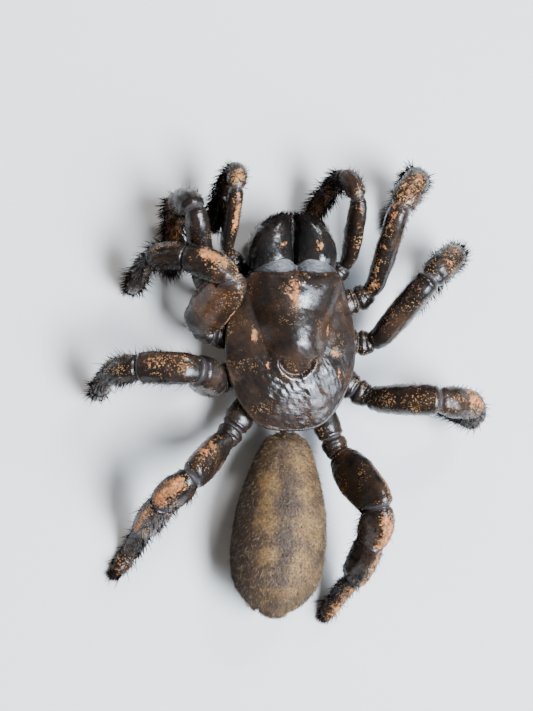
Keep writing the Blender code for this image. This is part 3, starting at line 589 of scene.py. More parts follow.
def ring_places(limb, hinges):
    """Where the rings of a limb lie: evenly along it, and closer at its hinges."""
    total = limb.joint_run[-1]
    near = (hinges[:, None] + np.linspace(-HINGE_SPAN, HINGE_SPAN, HINGE_RINGS)[None, :]).reshape(-1)
    runs = np.concatenate([np.arange(0, total, RING_STEP), near[(near > 0) & (near < total)], [total]])
    return np.unique(np.round(runs, 3))


def girths(limb, runs):
    """Half-width and half-height at the rings, smoothed along the limb."""
    knots, wide, tall = limb.tubes()
    kernel = np.exp(-((runs[:, None] - runs[None, :]) / GIRTH_BLUR) ** 2)
    kernel /= kernel.sum(axis=1, keepdims=True)
    return kernel @ np.interp(runs, knots, wide), kernel @ np.interp(runs, knots, tall)


def hinge_shape(runs, hinges):
    """How soft each ring is, and its size: narrow at a hinge, between two swollen lips."""
    soft, size = np.zeros(len(runs)), np.ones(len(runs))
    for hinge in hinges:
        away = runs - hinge
        soft = np.maximum(soft, bump(away, 0, HINGE_WIDTH * 1.15))
        lips = HIND_LIP[0] * bump(away, *HIND_LIP[1:]) + FRONT_LIP[0] * bump(away, *FRONT_LIP[1:])
        size += lips - HINGE_WAIST * bump(away, 0, HINGE_WIDTH)
    return soft, size


def kept_off_bend(offset, inward):
    """Holds the inner side of a bend away from the bend's centre, so that it doesn't cross itself."""
    curve = np.maximum(np.linalg.norm(inward, axis=-1, keepdims=True), 1e-6)
    bent = inward / curve
    depth = (offset * bent).sum(axis=-1, keepdims=True)
    return offset - bent * np.where(curve > 1e-6, np.maximum(0.0, depth - INNER_SHARE / curve), 0)


def ridge_height(limb, where, angles):
    """Fine ridges along the upper side of the patella and the tibia."""
    top = np.degrees((angles - math.pi / 2 + math.pi) % TURN - math.pi)[None, :]
    ridged = np.zeros(len(where))
    for segment in RIDGED_SEGMENTS:
        share = where - segment
        ends = smooth_step(share, 0.1, 0.3) * (1 - smooth_step(share, 0.75, 0.95))
        ridged += ends * ((share > 0) & (share < 1))
    if limb.kind == "palp":
        ridged *= 0.5
    waves = np.cos(np.radians(RIDGE_COUNT * top))
    return RIDGE_HEIGHT * ridged[:, None] * waves * (1 - smooth_step(np.abs(top), 35, 75))


def skin_of_limb(limb):
    """One skin from the hip to the foot's tip: stiff tubes with lipped ends, and soft joints between them."""
    hinges = np.array(limb.hinges())
    runs = ring_places(limb, hinges)
    half_w, half_h = girths(limb, runs)
    soft, size = hinge_shape(runs, hinges)
    half_w, half_h = half_w * size, half_h * size
    point, _, side, up, inward = (v[:, None, :] for v in limb.section(runs))
    angles = TURN * np.arange(LIMB_SIDES) / LIMB_SIDES
    c, s = np.cos(angles)[None, :, None], np.sin(angles)[None, :, None]
    square = (np.abs(c) ** LIMB_SQUARENESS + np.abs(s) ** LIMB_SQUARENESS) ** (-1 / LIMB_SQUARENESS)
    offset = (side * c * half_w[:, None, None] + up * s * half_h[:, None, None]) * square
    points = point + kept_off_bend(offset, inward)
    points[..., 2] = np.maximum(points[..., 2], 0.0)
    skin = Skin(round_ends(points, end=TIP_DOME))
    added = len(skin.points) - len(points)
    places = np.concatenate([runs, np.full(added, runs[-1])])
    soft = np.concatenate([soft, np.full(added, soft[-1])])[:, None] * np.ones(LIMB_SIDES)
    skin.angles = angles
    skin.where = np.interp(places, limb.joint_run, np.arange(len(limb.joint_run)))
    folds = FOLD_DEPTH * soft * np.sin(places * FOLD_RATE)[:, None]
    grain = 0.012 * ripple(skin.points, 0.5, 11) + 0.02 * ripple(skin.points, 1.6, 12, 2)
    skin.push(ridge_height(limb, skin.where, angles) + folds + grain * (1 - soft))
    end = len(limb.joint_run)
    dust = DUST.get(limb.name, ()) + ((end - 1.9, end, 90, 400, FOOT_DUST),)
    amber = AMBER.get(limb.name, ()) + ((end - 2.2, end, 270, 90, 0.5), (1.1, 1.9, 270, 60, 0.45))
    dust, amber = patches(skin.where, angles, dust), patches(skin.where, angles, amber)
    return skin.carry(soft=np.clip(soft * 1.2, 0, 1), dust=dust, amber=amber)


def patches(where, angles, spots):
    """Soft-edged patches, each from and to a place along the limb, round an angle, and how strong."""
    total = np.zeros((len(where), len(angles)))
    around = np.degrees(angles)[None, :]
    for start, end, centre, width, strength in spots:
        along = smooth_step(where, start - SPOT_FADE, start + SPOT_FADE)
        along = along * (1 - smooth_step(where, end - SPOT_FADE, end + SPOT_FADE))
        turned = (around - centre + 180) % 360 - 180
        total = np.maximum(total, strength * along[:, None] * bump(turned, 0, width))
    return total


def scatter(skin, count, weight, draw):
    """Seeded roots spread over a skin by weight: index of ring and of side, each with its fraction."""
    chance = (skin.area * np.broadcast_to(weight, skin.area.shape))[:-1].reshape(-1)
    chance = np.maximum(chance, 0)
    picked = draw.choice(len(chance), size=count, p=chance / chance.sum())
    rows, columns = np.divmod(picked, skin.points.shape[1])
    return rows, columns, draw.uniform(0, 1, count), draw.uniform(0, 1, count)


def at(grid, spots):
    """A grid's values at scattered places, blended between its points."""
    rows, columns, a, b = spots
    beside = (columns + 1) % grid.shape[1]
    if grid.ndim == 3:
        a, b = a[:, None], b[:, None]
    low = grid[rows, columns] * (1 - b) + grid[rows, beside] * b
    top = grid[rows + 1, columns] * (1 - b) + grid[rows + 1, beside] * b
    return low * (1 - a) + top * a


def spike_faces(rings, sides):
    """Triangles of a closed spike, whose points run from ring to ring and end in its tip."""
    faces = []
    for k in range(rings - 1):
        for j in range(sides):
            a, b = k * sides + j, k * sides + (j + 1) % sides
            faces += [(a, b, b + sides), (a, b + sides, a + sides)]
    last = (rings - 1) * sides
    faces += [(last + j, last + (j + 1) % sides, rings * sides) for j in range(sides)]
    faces += [(0, k + 1, k) for k in range(1, sides - 1)]
    return np.array(faces)


def hair_mesh(root, way, bend, length, radius, rings=3, sides=3):
    """Points and triangles of tapered, bent hairs, each a closed spike."""
    count = len(root)
    shares = np.arange(rings) / rings
    cross = unit(np.cross(way, np.where(np.abs(way[:, 2:]) < 0.9, [[0, 0, 1.0]], [[1.0, 0, 0]])))
    other = np.cross(way, cross)
    points = np.empty((count, rings * sides + 1, 3))
    for k, share in enumerate(shares):
        centre = root + way * (length * share)[:, None] + bend * (length * share**2)[:, None]
        thick = radius * (1 - share) ** 0.75
        for j in range(sides):
            a = TURN * j / sides
            points[:, k * sides + j] = centre + (cross * math.cos(a) + other * math.sin(a)) * thick[:, None]
    points[:, -1] = root + way * length[:, None] + bend * length[:, None]
    step = rings * sides + 1
    faces = spike_faces(rings, sides)[None] + (np.arange(count) * step)[:, None, None]
    return points.reshape(-1, 3), faces.reshape(-1, 3), step


class Coat:
    """Gathers hairs of one piece, so that they become one mesh."""

    def __init__(self, name):
        self.name = name
        self.points, self.faces, self.uv, self.dust, self.shade = [], [], [], [], []
        self.total = 0

    def add(self, root, way, bend, length, radius, uv, dust, shade, rings=3):
        points, faces, step = hair_mesh(root, unit(way), bend, length, radius, rings)
        points[:, 2] = np.maximum(points[:, 2], FLOOR_MARGIN)
        patch = np.array([(math.cos(a), math.sin(a)) for a in np.arange(step) * 2.4])
        patch *= (PATCH / 2 * np.sqrt((np.arange(step) + 0.5) / step))[:, None]
        self.points.append(points)
        self.faces.append(faces + self.total)
        self.uv.append((np.clip(uv, PATCH, 1 - PATCH)[:, None] + patch[None]).reshape(-1, 2))
        self.dust.append(np.repeat(dust, step))
        self.shade.append(np.repeat(shade, step))
        self.total += len(points)

    def build(self, stuff, slot):
        values = {"dust": np.concatenate(self.dust), "shade": np.concatenate(self.shade)}
        points, faces = np.vstack(self.points), np.vstack(self.faces)
        return add_piece(self.name, points, [faces], stuff, (), values, np.vstack(self.uv))


def grow(coat, skin, count, weight, length, radius, rise, draw, curl=0.25, tilt=0.35, rings=3):
    """Hairs that lean towards the far end of a skin. rise is their angle off it, in degrees."""
    if count < 1:
        return
    spots = scatter(skin, count, weight, draw)
    root, normal, along = (at(grid, spots) for grid in (skin.points, skin.normal, skin.along))
    normal = unit(normal)
    across = np.cross(normal, unit(along))
    angle = np.radians(draw.normal(rise, RISE_SPREAD, count))[:, None]
    veer = draw.normal(0, tilt, count)[:, None]
    way = normal * np.sin(angle) + (unit(along) + across * veer) * np.cos(angle)
    sizes = draw.uniform(*length, count)
    bend = (unit(along) * 0.6 - normal * 0.5) * curl * draw.uniform(0.3, 1.2, count)[:, None]
    thick = draw.uniform(*radius, count)
    rows, columns, a, b = spots
    uv = np.stack([(columns + b) / skin.points.shape[1], (rows + a) / skin.points.shape[0]], axis=-1)
    dust = at(skin.values["dust"], spots)
    shade = draw.uniform(0, 1, count)
    coat.add(root - normal * HAIR_SINK, way, bend, sizes, thick, uv, dust, shade, rings)


class Paint:
    """Builds one procedural material, node by node."""

    def __init__(self, name):
        self.made = bpy.data.materials.new(name)
        self.made.use_nodes = True
        self.tree = self.made.node_tree
        self.shader = self.tree.nodes["Principled BSDF"]
        self.place = self.tree.nodes.new("ShaderNodeTexCoord").outputs["Object"]

    def node(self, kind, **settings):
        made = self.tree.nodes.new(kind)
        for key, value in settings.items():
            setattr(made, key, value)
        return made

    def put(self, socket, value):
        if isinstance(value, bpy.types.NodeSocket):
            self.tree.links.new(value, socket)
        else:
            socket.default_value = value

    def noise(self, per_mm, detail=4.0, rough=0.55, stretch=None, warp=0.0):
        made = self.node("ShaderNodeTexNoise")
        self.put(made.inputs["Vector"], self.stretched(stretch) if stretch else self.place)
        self.put(made.inputs["Scale"], per_mm * 1000)
        self.put(made.inputs["Detail"], detail)
        self.put(made.inputs["Roughness"], rough)
        self.put(made.inputs["Distortion"], warp)
        return made.outputs["Fac"]

    def stretched(self, factors):
        made = self.node("ShaderNodeMapping")
        self.put(made.inputs["Vector"], self.place)
        self.put(made.inputs["Scale"], factors)
        return made.outputs["Vector"]

    def cells(self, per_mm):
        made = self.node("ShaderNodeTexVoronoi")
        self.put(made.inputs["Vector"], self.place)
        self.put(made.inputs["Scale"], per_mm * 1000)
        return made.outputs["Distance"]

    def value(self, name):
        return self.node("ShaderNodeAttribute", attribute_name=name).outputs["Fac"]

    def ramp(self, value, low, high, to_low=0.0, to_high=1.0):
        made = self.node("ShaderNodeMapRange", interpolation_type="SMOOTHSTEP")
        for socket, given in zip(made.inputs, (value, low, high, to_low, to_high)):
            self.put(socket, given)
        return made.outputs["Result"]

    def math(self, operation, a, b=0.0):
        made = self.node("ShaderNodeMath", operation=operation)
        self.put(made.inputs[0], a)
        self.put(made.inputs[1], b)
        return made.outputs[0]

    def mix(self, share, a, b):
        made = self.node("ShaderNodeMix", data_type="RGBA")
        self.put(made.inputs[0], share)
        for socket, given in ((made.inputs[6], a), (made.inputs[7], b)):
            self.put(socket, given if isinstance(given, bpy.types.NodeSocket) else (*given, 1.0))
        return made.outputs[2]

    def relief(self, height, distance, strength=1.0, under=None):
        made = self.node("ShaderNodeBump")
        self.put(made.inputs["Strength"], strength)
        self.put(made.inputs["Distance"], distance * MM)
        self.put(made.inputs["Height"], height)
        if under is not None:
            self.put(made.inputs["Normal"], under)
        return made.outputs["Normal"]

    def finish(self, colour, roughness, normal=None, **fixed):
        self.put(self.shader.inputs["Base Color"], colour)
        self.put(self.shader.inputs["Roughness"], roughness)
        if normal is not None:
            self.put(self.shader.inputs["Normal"], normal)
        for key, given in fixed.items():
            self.shader.inputs[key.replace("_", " ")].default_value = given
        return self.made


def soil_mask(paint, dust):
    """Ragged, broken patches of dried soil where the dust value is high, and a few crumbs elsewhere."""
    broad = paint.math("MULTIPLY", paint.noise(1.7, 8.0, 0.72, warp=0.25), 1.3)
    fine = paint.math("MULTIPLY", paint.noise(6.0, 4.0, 0.7), 1.2)
    level = paint.math("ADD", paint.math("MULTIPLY", dust, 0.62), paint.math("ADD", broad, fine))
    return paint.ramp(level, 1.58, 1.68)


def soil_colour(paint):
    warm = paint.mix(paint.ramp(paint.noise(1.1, 5.0), 0.36, 0.62), SOIL_ORANGE, SOIL_TAN)
    warm = paint.mix(paint.ramp(paint.noise(4.5, 5.0, 0.65), 0.5, 0.66), warm, SOIL_PALE)
    # Dark flecks through the soil are painted shade between its crumbs.
    return paint.mix(paint.ramp(paint.noise(4.6, 6.0, 0.75), 0.47, 0.6, 0.0, 0.9), warm, SOIL_PAINTED_SHADE)


def dust_grains(paint, dust, strength):
    """Round grains of dust, thick in some zones and where soil lies, and rare elsewhere."""
    zones = paint.math("ADD", paint.ramp(paint.noise(0.8, 5.0, 0.6), 0.4, 0.68), dust)
    size = paint.math("MULTIPLY", paint.math("MULTIPLY", zones, paint.noise(3.0, 3.0)), 0.62)
    near = paint.math("SUBTRACT", size, paint.cells(8.5))
    return paint.ramp(near, -0.06, 0.05, 0.0, strength)


def cuticle_material(name, dark, brown, gloss, grain, mirror):
    """Glossy horn: near black with brown clouds, grained and speckled, with soil and darker soft joints."""
    paint = Paint(name)
    dust, soft, amber = paint.value("dust"), paint.value("soft"), paint.value("amber")
    clouds = paint.ramp(paint.noise(0.55, 6.0, 0.6), 0.42, 0.72)
    colour = paint.mix(paint.math("MULTIPLY", clouds, 0.8), dark, brown)
    amber = paint.math("MULTIPLY", amber, paint.ramp(paint.noise(0.8, 3.0), 0.3, 0.6))
    colour = paint.mix(amber, colour, AMBER_BROWN)
    colour = paint.mix(paint.ramp(soft, 0.25, 0.8), colour, JOINT_GREY)
    grains = dust_grains(paint, dust, grain)
    colour = paint.mix(grains, colour, SPECKLE)
    soil = soil_mask(paint, dust)
    colour = paint.mix(soil, colour, soil_colour(paint))
    shine = paint.ramp(paint.noise(1.4, 5.0), 0.35, 0.7, gloss, gloss + 0.14)
    shine = paint.math("MAXIMUM", shine, paint.math("MULTIPLY", grains, 0.5))
    shine = paint.math("MAXIMUM", shine, paint.math("MULTIPLY", soil, 0.9))
    fine = paint.relief(paint.noise(9.0, 5.0, 0.62), 0.02, 0.6)
    pits = paint.relief(paint.ramp(paint.cells(5.5), 0.0, 0.3), 0.014, 0.5, fine)
    crust = paint.math("MULTIPLY", soil, paint.math("ADD", paint.noise(8.0, 7.0, 0.72), 0.3))
    relief = paint.relief(crust, 0.11, 1.0, pits)
    fixed = {"Specular_IOR_Level": mirror, "Coat_Weight": 0.07, "Coat_Roughness": 0.1}
    return paint.finish(colour, shine, relief, **fixed)


def hair_material(name, dark, light):
    paint = Paint(name)
    shade = paint.value("shade")
    colour = paint.mix(paint.ramp(shade, 0.55, 1.0), dark, light)
    colour = paint.mix(paint.ramp(paint.value("dust"), 0.4, 0.95, 0.0, 0.6), colour, SOIL_TAN)
    tone = paint.mix(paint.noise(2.5, 3.0), colour, dark)
    return paint.finish(tone, paint.ramp(shade, 0.0, 1.0, 0.5, 0.7), Specular_IOR_Level=0.0)


def velvet_colour(paint):
    """The abdomen's pattern of gold-brown blotches each side of a dark band, with painted shade and light,
    carried by the pale value.
    """
    ragged = paint.math("MULTIPLY", paint.noise(0.9, 8.0, 0.74, warp=0.4), 2.2)
    share = paint.ramp(paint.math("ADD", paint.value("pale"), ragged), 1.05, 1.85)
    tone = paint.mix(share, VELVET_DARK, VELVET_GOLD)
    return paint.mix(paint.ramp(paint.noise(6.0, 4.0, 0.7), 0.4, 0.62, 0.0, 0.6), tone, VELVET_DARK)


def velvet_skin_material():
    paint = Paint("velvet_skin")
    colour = paint.mix(0.4, velvet_colour(paint), VELVET_DARK)
    wrinkle = paint.relief(paint.noise(3.0, 7.0, 0.6, stretch=(1.0, 0.45, 1.0)), 0.12, 0.8)
    shine = paint.ramp(paint.noise(4.0), 0.3, 0.7, 0.55, 0.8)
    return paint.finish(colour, shine, wrinkle, Specular_IOR_Level=0.15)


def velvet_hair_material():
    paint = Paint("velvet_hair")
    shade = paint.value("shade")
    tone = paint.mix(paint.ramp(shade, 0.0, 0.75, 0.9, 0.0), velvet_colour(paint), VELVET_DARK)
    # A few hairs turn pale gold: painted glints on the velvet.
    tone = paint.mix(paint.ramp(shade, 0.84, 0.96, 0.0, 0.7), tone, VELVET_PAINTED_GLINT)
    return paint.finish(tone, paint.ramp(shade, 0.0, 1.0, 0.6, 0.4), Specular_IOR_Level=0.12)


def membrane_material():
    paint = Paint("soft_membrane")
    clouds = paint.ramp(paint.noise(1.5, 5.0), 0.3, 0.7, 0.35, 1.0)
    # The pale value brings the fold's pale front, and its rear darkened as painted shade.
    light = paint.math("MULTIPLY", paint.value("pale"), clouds)
    colour = paint.mix(light, MEMBRANE_DARK, MEMBRANE_PALE)
    folds = paint.relief(paint.noise(3.5, 6.0, 0.6, stretch=(1.0, 2.6, 1.0)), 0.08, 0.8)
    shine = paint.ramp(paint.noise(3.0), 0.3, 0.7, 0.28, 0.45)
    return paint.finish(colour, shine, folds, Specular_IOR_Level=0.28)


def horn_material(name, base, tip, rough):
    """Polished horn for fangs, claws and jaw spines."""
    paint = Paint(name)
    colour = paint.mix(paint.ramp(paint.noise(1.2, 3.0), 0.35, 0.7), base, tip)
    scratch = paint.relief(paint.noise(14.0, 4.0), 0.008, 0.5)
    shine = paint.ramp(paint.noise(2.0), 0.3, 0.7, rough, rough + 0.1)
    return paint.finish(colour, shine, scratch, Specular_IOR_Level=0.6, Coat_Weight=0.3)


def eye_material():
    paint = Paint("eye_lens")
    colour = paint.mix(paint.ramp(paint.noise(2.0, 2.0), 0.35, 0.65), EYE_DARK, EYE_BROWN)
    return paint.finish(colour, paint.ramp(paint.noise(6.0), 0.3, 0.7, 0.04, 0.1), Coat_Weight=1.0)


def floor_material():
    paint = Paint("plain_floor")
    colour = paint.mix(paint.noise(0.05, 3.0), FLOOR_DARK, FLOOR_PALE)
    grain = paint.relief(paint.noise(0.8, 4.0), 0.05, 0.2)
    shine = paint.ramp(paint.noise(0.1), 0.3, 0.7, 0.75, 0.85)
    return paint.finish(colour, shine, grain, Specular_IOR_Level=0.3)


def carapace_top(x, y, edge, reach):
    """Height of the shield at x and y. edge is the share of the way out, reach the way from the fovea."""
    front = smooth_step(y, 2.4, 4.5) * (1 - smooth_step(np.abs(x), 2.8, 3.8))
    rim = CARAPACE_FLOOR + CARAPACE_RIM + CAPUT_FRONT_RIM * front
    thorax = THORAX_RISE * (1 - edge**2.3)
    caput_width = np.maximum(1.25 + 0.3 * (y + 1.8), 0.4)
    across = np.clip(1 - (np.abs(x) / caput_width) ** 2.2, 0, 1)
    along = smooth_step(y, -1.75, 0.6)
    brow = 1 - 0.25 * smooth_step(y, 2.5, 4.72)
    caput = CAPUT_RISE * along * across**1.15 * brow * (1 - edge**14)
    angle = np.arctan2(y - FOVEA_CENTRE[1], x)
    behind = smooth_step(-np.sin(angle), -0.15, 0.35)
    groove = FOVEA_DEPTH * behind * bump(reach, FOVEA_RADIUS, FOVEA_WIDTH)
    lip = FOVEA_LIP * behind * bump(reach, FOVEA_RADIUS + 0.34, 0.2)
    star = (0.5 + 0.5 * np.cos(SPOKES * angle)) ** 2
    spokes = SPOKE_DEPTH * star * smooth_step(edge, 0.3, 0.6) * (1 - edge**5)
    hill = EYE_HILL_RISE * np.exp(-(((x - EYE_HILL[0]) / 0.62) ** 2) - ((y - EYE_HILL[1]) / 0.42) ** 2)
    return rim + thorax + caput + hill - groove + lip - spokes * (1 - along * across)


def spots(points, table):
    """Soil seen from above: ragged spots at x, y, half-width, half-length and strength."""
    x = points[..., 0] + 0.16 * ripple(points, 0.8, 25, 3)
    y = points[..., 1] + 0.16 * ripple(points, 0.8, 26, 3)
    found = np.zeros(x.shape)
    for cx, cy, wide, long, strength in table:
        found = np.maximum(found, strength * np.exp(-(((x - cx) / wide) ** 2) - ((y - cy) / long) ** 2))
    return found


def carapace_skin():
    """The shield from its middle to the rounded margin, and back underneath."""
    angles = TURN * (np.arange(SHIELD_SIDES) + 0.5) / SHIELD_SIDES
    way = np.stack([np.cos(angles), np.sin(angles)], axis=-1)
    margin = outline_reach(closed_outline(CARAPACE_HALF_OUTLINE), FOVEA_CENTRE, angles)
    margin += SHIELD_FRONT_REACH * smooth_step(np.sin(angles), 0.87, 0.94)
    inner = margin - SHIELD_ROUND

    def ring(out, z):
        return np.concatenate([FOVEA_CENTRE + out[:, None] * way, z[:, None]], axis=-1)

    rings = []
    for share in np.linspace(0.012, 1, SHIELD_RINGS) ** 0.92:
        reach = share * inner
        x, y = (FOVEA_CENTRE + reach[:, None] * way).T
        height = carapace_top(x, y, reach / margin, reach)
        rings.append(ring(reach, height))
    thick = height - CARAPACE_FLOOR
    for turn in np.linspace(0, math.pi, 15)[1:]:
        out = margin - SHIELD_ROUND * (1 - math.sin(turn))
        rings.append(ring(out, CARAPACE_FLOOR + thick * 0.5 * (1 + math.cos(turn))))
    for share in (0.85, 0.5, 0.15):
        rings.append(ring(share * inner, np.full(SHIELD_SIDES, CARAPACE_FLOOR + 0.12)))
    skin = Skin(np.array(rings))
    x, y = skin.points[..., 0], skin.points[..., 1]
    up = np.clip(skin.normal[..., 2], 0, 1)
    above = np.arange(len(rings))[:, None] < TOP_RINGS
    relief = 0.028 * ripple(skin.points, 1.3, 21, 3) + 0.012 * ripple(skin.points, 0.35, 22, 2)
    rays = 0.006 * np.cos(26 * np.arctan2(y - FOVEA_CENTRE[1], x))
    rays = rays * smooth_step(np.hypot(x, y - FOVEA_CENTRE[1]), 1.4, 2.4)
    worn = 0.35 + 0.65 * smooth_step(-y, -0.6, 1.0)
    skin.push((relief * worn + rays * (1 - smooth_step(y, 0, 2))) * up * above)
    return skin.carry(dust=spots(skin.points, SHIELD_DUST) * (up > 0.1), soft=0, amber=0.25 * (1 - up))


def ellipse_rings(stations, sides, power=2.0):
    """Rings across Y from y, centre x, centre z, half-width and half-height."""
    angles = TURN * np.arange(sides) / sides
    c, s = np.cos(angles), np.sin(angles)
    square = (np.abs(c) ** power + np.abs(s) ** power) ** (-1 / power)
    rings = []
    for y, x, z, half_w, half_h in stations:
        rings.append(np.stack([x + half_w * c * square, np.full(sides, y), z + half_h * s * square], axis=-1))
    return np.array(rings)


def jaw_skin(side):
    """One chelicera: a stout swollen joint that narrows to its front, straight along its inner side."""
    sign = 1 if side == "right" else -1
    back, front = CHELICERA_Y
    rows = []
    for y in JAW_HIND + (front - JAW_HIND) * np.linspace(0, 1, 80) ** 0.9:
        share = max(0.0, (y - back) / (front - back))
        narrow = math.sqrt(1 - (max(0.0, share - 0.1) / 0.93) ** 2)
        flat = math.sqrt(1 - (max(0.0, share - 0.5) / 0.56) ** 2)
        neck = 1 - 0.15 * (max(0.0, 5.8 - y) / (5.8 - JAW_HIND)) ** 2
        half_w = CHELICERA_HALF_WIDTH * (0.12 + 0.88 * narrow) * (0.6 + 0.4 * neck)
        half_h = CHELICERA_HALF_HEIGHT * (0.45 + 0.55 * flat) * neck
        z = CHELICERA_Z[0] + (CHELICERA_Z[1] - CHELICERA_Z[0]) * share
        rows.append((y, CHELICERA_INNER + half_w, z, half_w, half_h))
    points = round_ends(ellipse_rings(rows, 72, 2.15), end=0.16)
    inner = np.clip(1 - (points[..., 0] - CHELICERA_INNER) / 0.8, 0, 1)
    points[..., 0] -= 0.11 * inner * (1 - smooth_step(points[..., 1], 6.0, 7.9))
    points[..., 0] = np.maximum(points[..., 0], 0.03 + 0.03 * np.abs(points[..., 2] - CHELICERA_Z[0]))
    points[..., 0] *= sign
    skin = Skin(points)
    skin.push(0.02 * ripple(skin.points, 1.1, 31) + 0.008 * ripple(skin.points, 0.3, 32, 2))
    return skin.carry(dust=spots(skin.points, JAW_DUST), soft=0, amber=0)


def spike(root, tip, radius, sides=10, rings=8, hook=(0, 0, 0), power=0.7):
    """Points and faces of one curved, tapered spine."""
    root, tip, hook = (np.array(v, float) for v in (root, tip, hook))
    points = []
    way = unit(tip - root)
    cross = unit(np.cross(way, (0.3, 0.2, 0.9)))
    other = np.cross(way, cross)
    for k in range(rings):
        t = k / rings
        centre = root + (tip - root) * t + hook * 4 * t * (1 - t)
        thick = radius * (1 - t) ** power
        for j in range(sides):
            a = TURN * j / sides
            points.append(centre + (cross * math.cos(a) + other * math.sin(a)) * thick)
    points.append(tip)
    return np.array(points), spike_faces(rings, sides)


def joined(shapes):
    """Several closed shapes as one list of points and faces."""
    points, faces, total = [], [], 0
    for p, f in shapes:
        points.append(p)
        faces.append(f + total)
        total += len(p)
    return np.vstack(points), np.vstack(faces)


def ball(centre, radius, across=20, up=14):
    """A closed round body."""
    points = [np.array(centre) + (0, 0, radius)]
    for k in range(1, up):
        a = math.pi * k / up
        for j in range(across):
            b = TURN * j / across
            way = np.array((math.sin(a) * math.cos(b), math.sin(a) * math.sin(b), math.cos(a)))
            points.append(np.array(centre) + radius * way)
    points.append(np.array(centre) - (0, 0, radius))
    faces = [(0, 1 + j, 1 + (j + 1) % across) for j in range(across)]
    for k in range(up - 2):
        for j in range(across):
            a, b = 1 + k * across + j, 1 + k * across + (j + 1) % across
            faces += [(a, a + across, b + across), (a, b + across, b)]
    last = 1 + (up - 1) * across
    faces += [(last, last - across + (j + 1) % across, last - across + j) for j in range(across)]
    return np.array(points), np.array(faces)


def abdomen_place(back, across, z):
    """A point of the abdomen from its own axis, which bends to the left behind the waist."""
    x = across * math.cos(ABDOMEN_YAW) - back * math.sin(ABDOMEN_YAW)
    y = ABDOMEN_START - back * math.cos(ABDOMEN_YAW) - across * math.sin(ABDOMEN_YAW)
    return np.stack(np.broadcast_arrays(x, y, z), axis=-1)


def abdomen_skin():
    stations = smooth_through(ABDOMEN_STATIONS, 18)
    sides = 150
    angles = TURN * np.arange(sides) / sides
    back = stations[:, 0][:, None] * np.ones(sides)
    across = stations[:, 1][:, None] * np.cos(angles)
    z = np.maximum(stations[:, 3][:, None] + stations[:, 2][:, None] * np.sin(angles), 0.0)
    points = round_ends(abdomen_place(back, across, z), start=0.2, end=0.42)
    skin = Skin(points)
    dents = 0.035 * ripple(skin.points * (1, 0.6, 1), 2.2, 41, 2)
    creases = 0.014 * ripple(skin.points * (0.7, 1.6, 0.7), 0.9, 42, 2)
    skin.push(dents + creases - COAT_DEPTH)
    x, y = skin.points[..., 0], skin.points[..., 1] - ABDOMEN_START
    aside = x * math.cos(ABDOMEN_YAW) - y * math.sin(ABDOMEN_YAW)
    behind = -y * math.cos(ABDOMEN_YAW) - x * math.sin(ABDOMEN_YAW)
    # Painted shade: the pale value falls over the left flank, and rises towards the right side as painted
    # light.
    pale = 0.16 + 0.14 * smooth_step(aside, -1.0, 2.2) - 0.42 * smooth_step(-aside, 1.3, 2.7)
    for at, out, long, wide, strength in BLOTCHES:
        pale = pale + strength * np.exp(-(((aside - out) / wide) ** 2) - ((behind - at) / long) ** 2)
    middle, wide, start, end = MEDIAN_BAND
    along = smooth_step(behind, start - 0.5, start + 0.5) * (1 - smooth_step(behind, end - 0.5, end + 0.5))
    pale = pale - 0.22 * along * np.exp(-(((aside - middle) / wide) ** 2))
    return skin.carry(pale=np.clip(pale * (skin.normal[..., 2] > -0.2), -0.5, 1))


def spinneret_skin(side):
    sign = 1 if side == "right" else -1
    shares = np.linspace(0, 1, 50)
    radii = np.interp(shares, *np.array(SPINNERET_RADII).T)
    angles = TURN * np.arange(28) / 28
    rise = radii[:, None] * np.sin(angles)
    back = SPINNERET_ROOT + SPINNERET_LENGTH * shares[:, None] + 1.25 * (1 - shares[:, None]) ** 2 * rise
    middle = sign * (SPINNERET_ACROSS[0] + SPINNERET_ACROSS[1] * shares[:, None])
    across = middle + radii[:, None] * np.cos(angles)
    z = SPINNERET_HEIGHT - 0.12 * shares[:, None] + rise
    skin = Skin(round_ends(abdomen_place(back, across, z), start=0.25, end=0.1))
    skin.push(0.012 * ripple(skin.points, 0.5, 51))
    return skin.carry(pale=0)


def outline_skin(half_outline, centre, levels, seed, amount):
    """A plate from rings of one outline: share of its reach and height."""
    angles = TURN * (np.arange(160) + 0.5) / 160
    reach = outline_reach(closed_outline(half_outline), centre, angles)
    way = np.stack([np.cos(angles), np.sin(angles)], axis=-1)
    rings = []
    for share, z in levels:
        flat = np.array(centre) + (share * reach)[:, None] * way
        rings.append(np.concatenate([flat, np.full((len(flat), 1), z)], axis=-1))
    skin = Skin(np.array(rings))
    skin.push(amount * ripple(skin.points, 0.8, seed))
    return skin.carry(dust=0, soft=0, amber=0.4)


def fold_skin():
    """The soft fold that comes from under the shield and laps over the back of the jaws in two arcs."""
    a = TURN * np.arange(180) / 180
    c, s = np.abs(np.cos(a)), np.sin(a)
    centre, half_w, half_h = FOLD_LOBE
    spread = c**2 / half_w**2 + s**2 / half_h**2
    lean = centre * c / half_w**2
    reach = (lean + np.sqrt(lean**2 - spread * (centre**2 / half_w**2 - 1))) / spread
    front = 4.7 + 0.84 * (1 - np.clip(reach * c / 2.75, 0, 1) ** 2.6) - 0.42 * bump(reach * c, 0, 0.4)
    rings = []
    shares = np.linspace(0, 1, 36)
    for t in shares:
        y = FOLD_START + (front - FOLD_START) * t
        swell = 0.84 + 0.16 * math.sin(0.5 * math.pi * min(1.0, 1.25 * t)) - 0.012 * bump(t, 0.62, 0.07)
        if t > 0.94:
            swell -= 0.03 * ((t - 0.94) / 0.06) ** 2
        rings.append(np.stack([swell * reach * np.cos(a), y, CHELICERA_Z[0] + swell * reach * s], axis=-1))
    skin = Skin(np.array(rings))
    skin.push(0.012 * ripple(skin.points, 0.7, 61))
    # The pale value lights the front of each arc; the rear, under the shield's margin, is darkened as painted
    # shade.
    return skin.carry(pale=(0.12 + 0.88 * smooth_step(shares, 0.83, 0.95))[:, None])


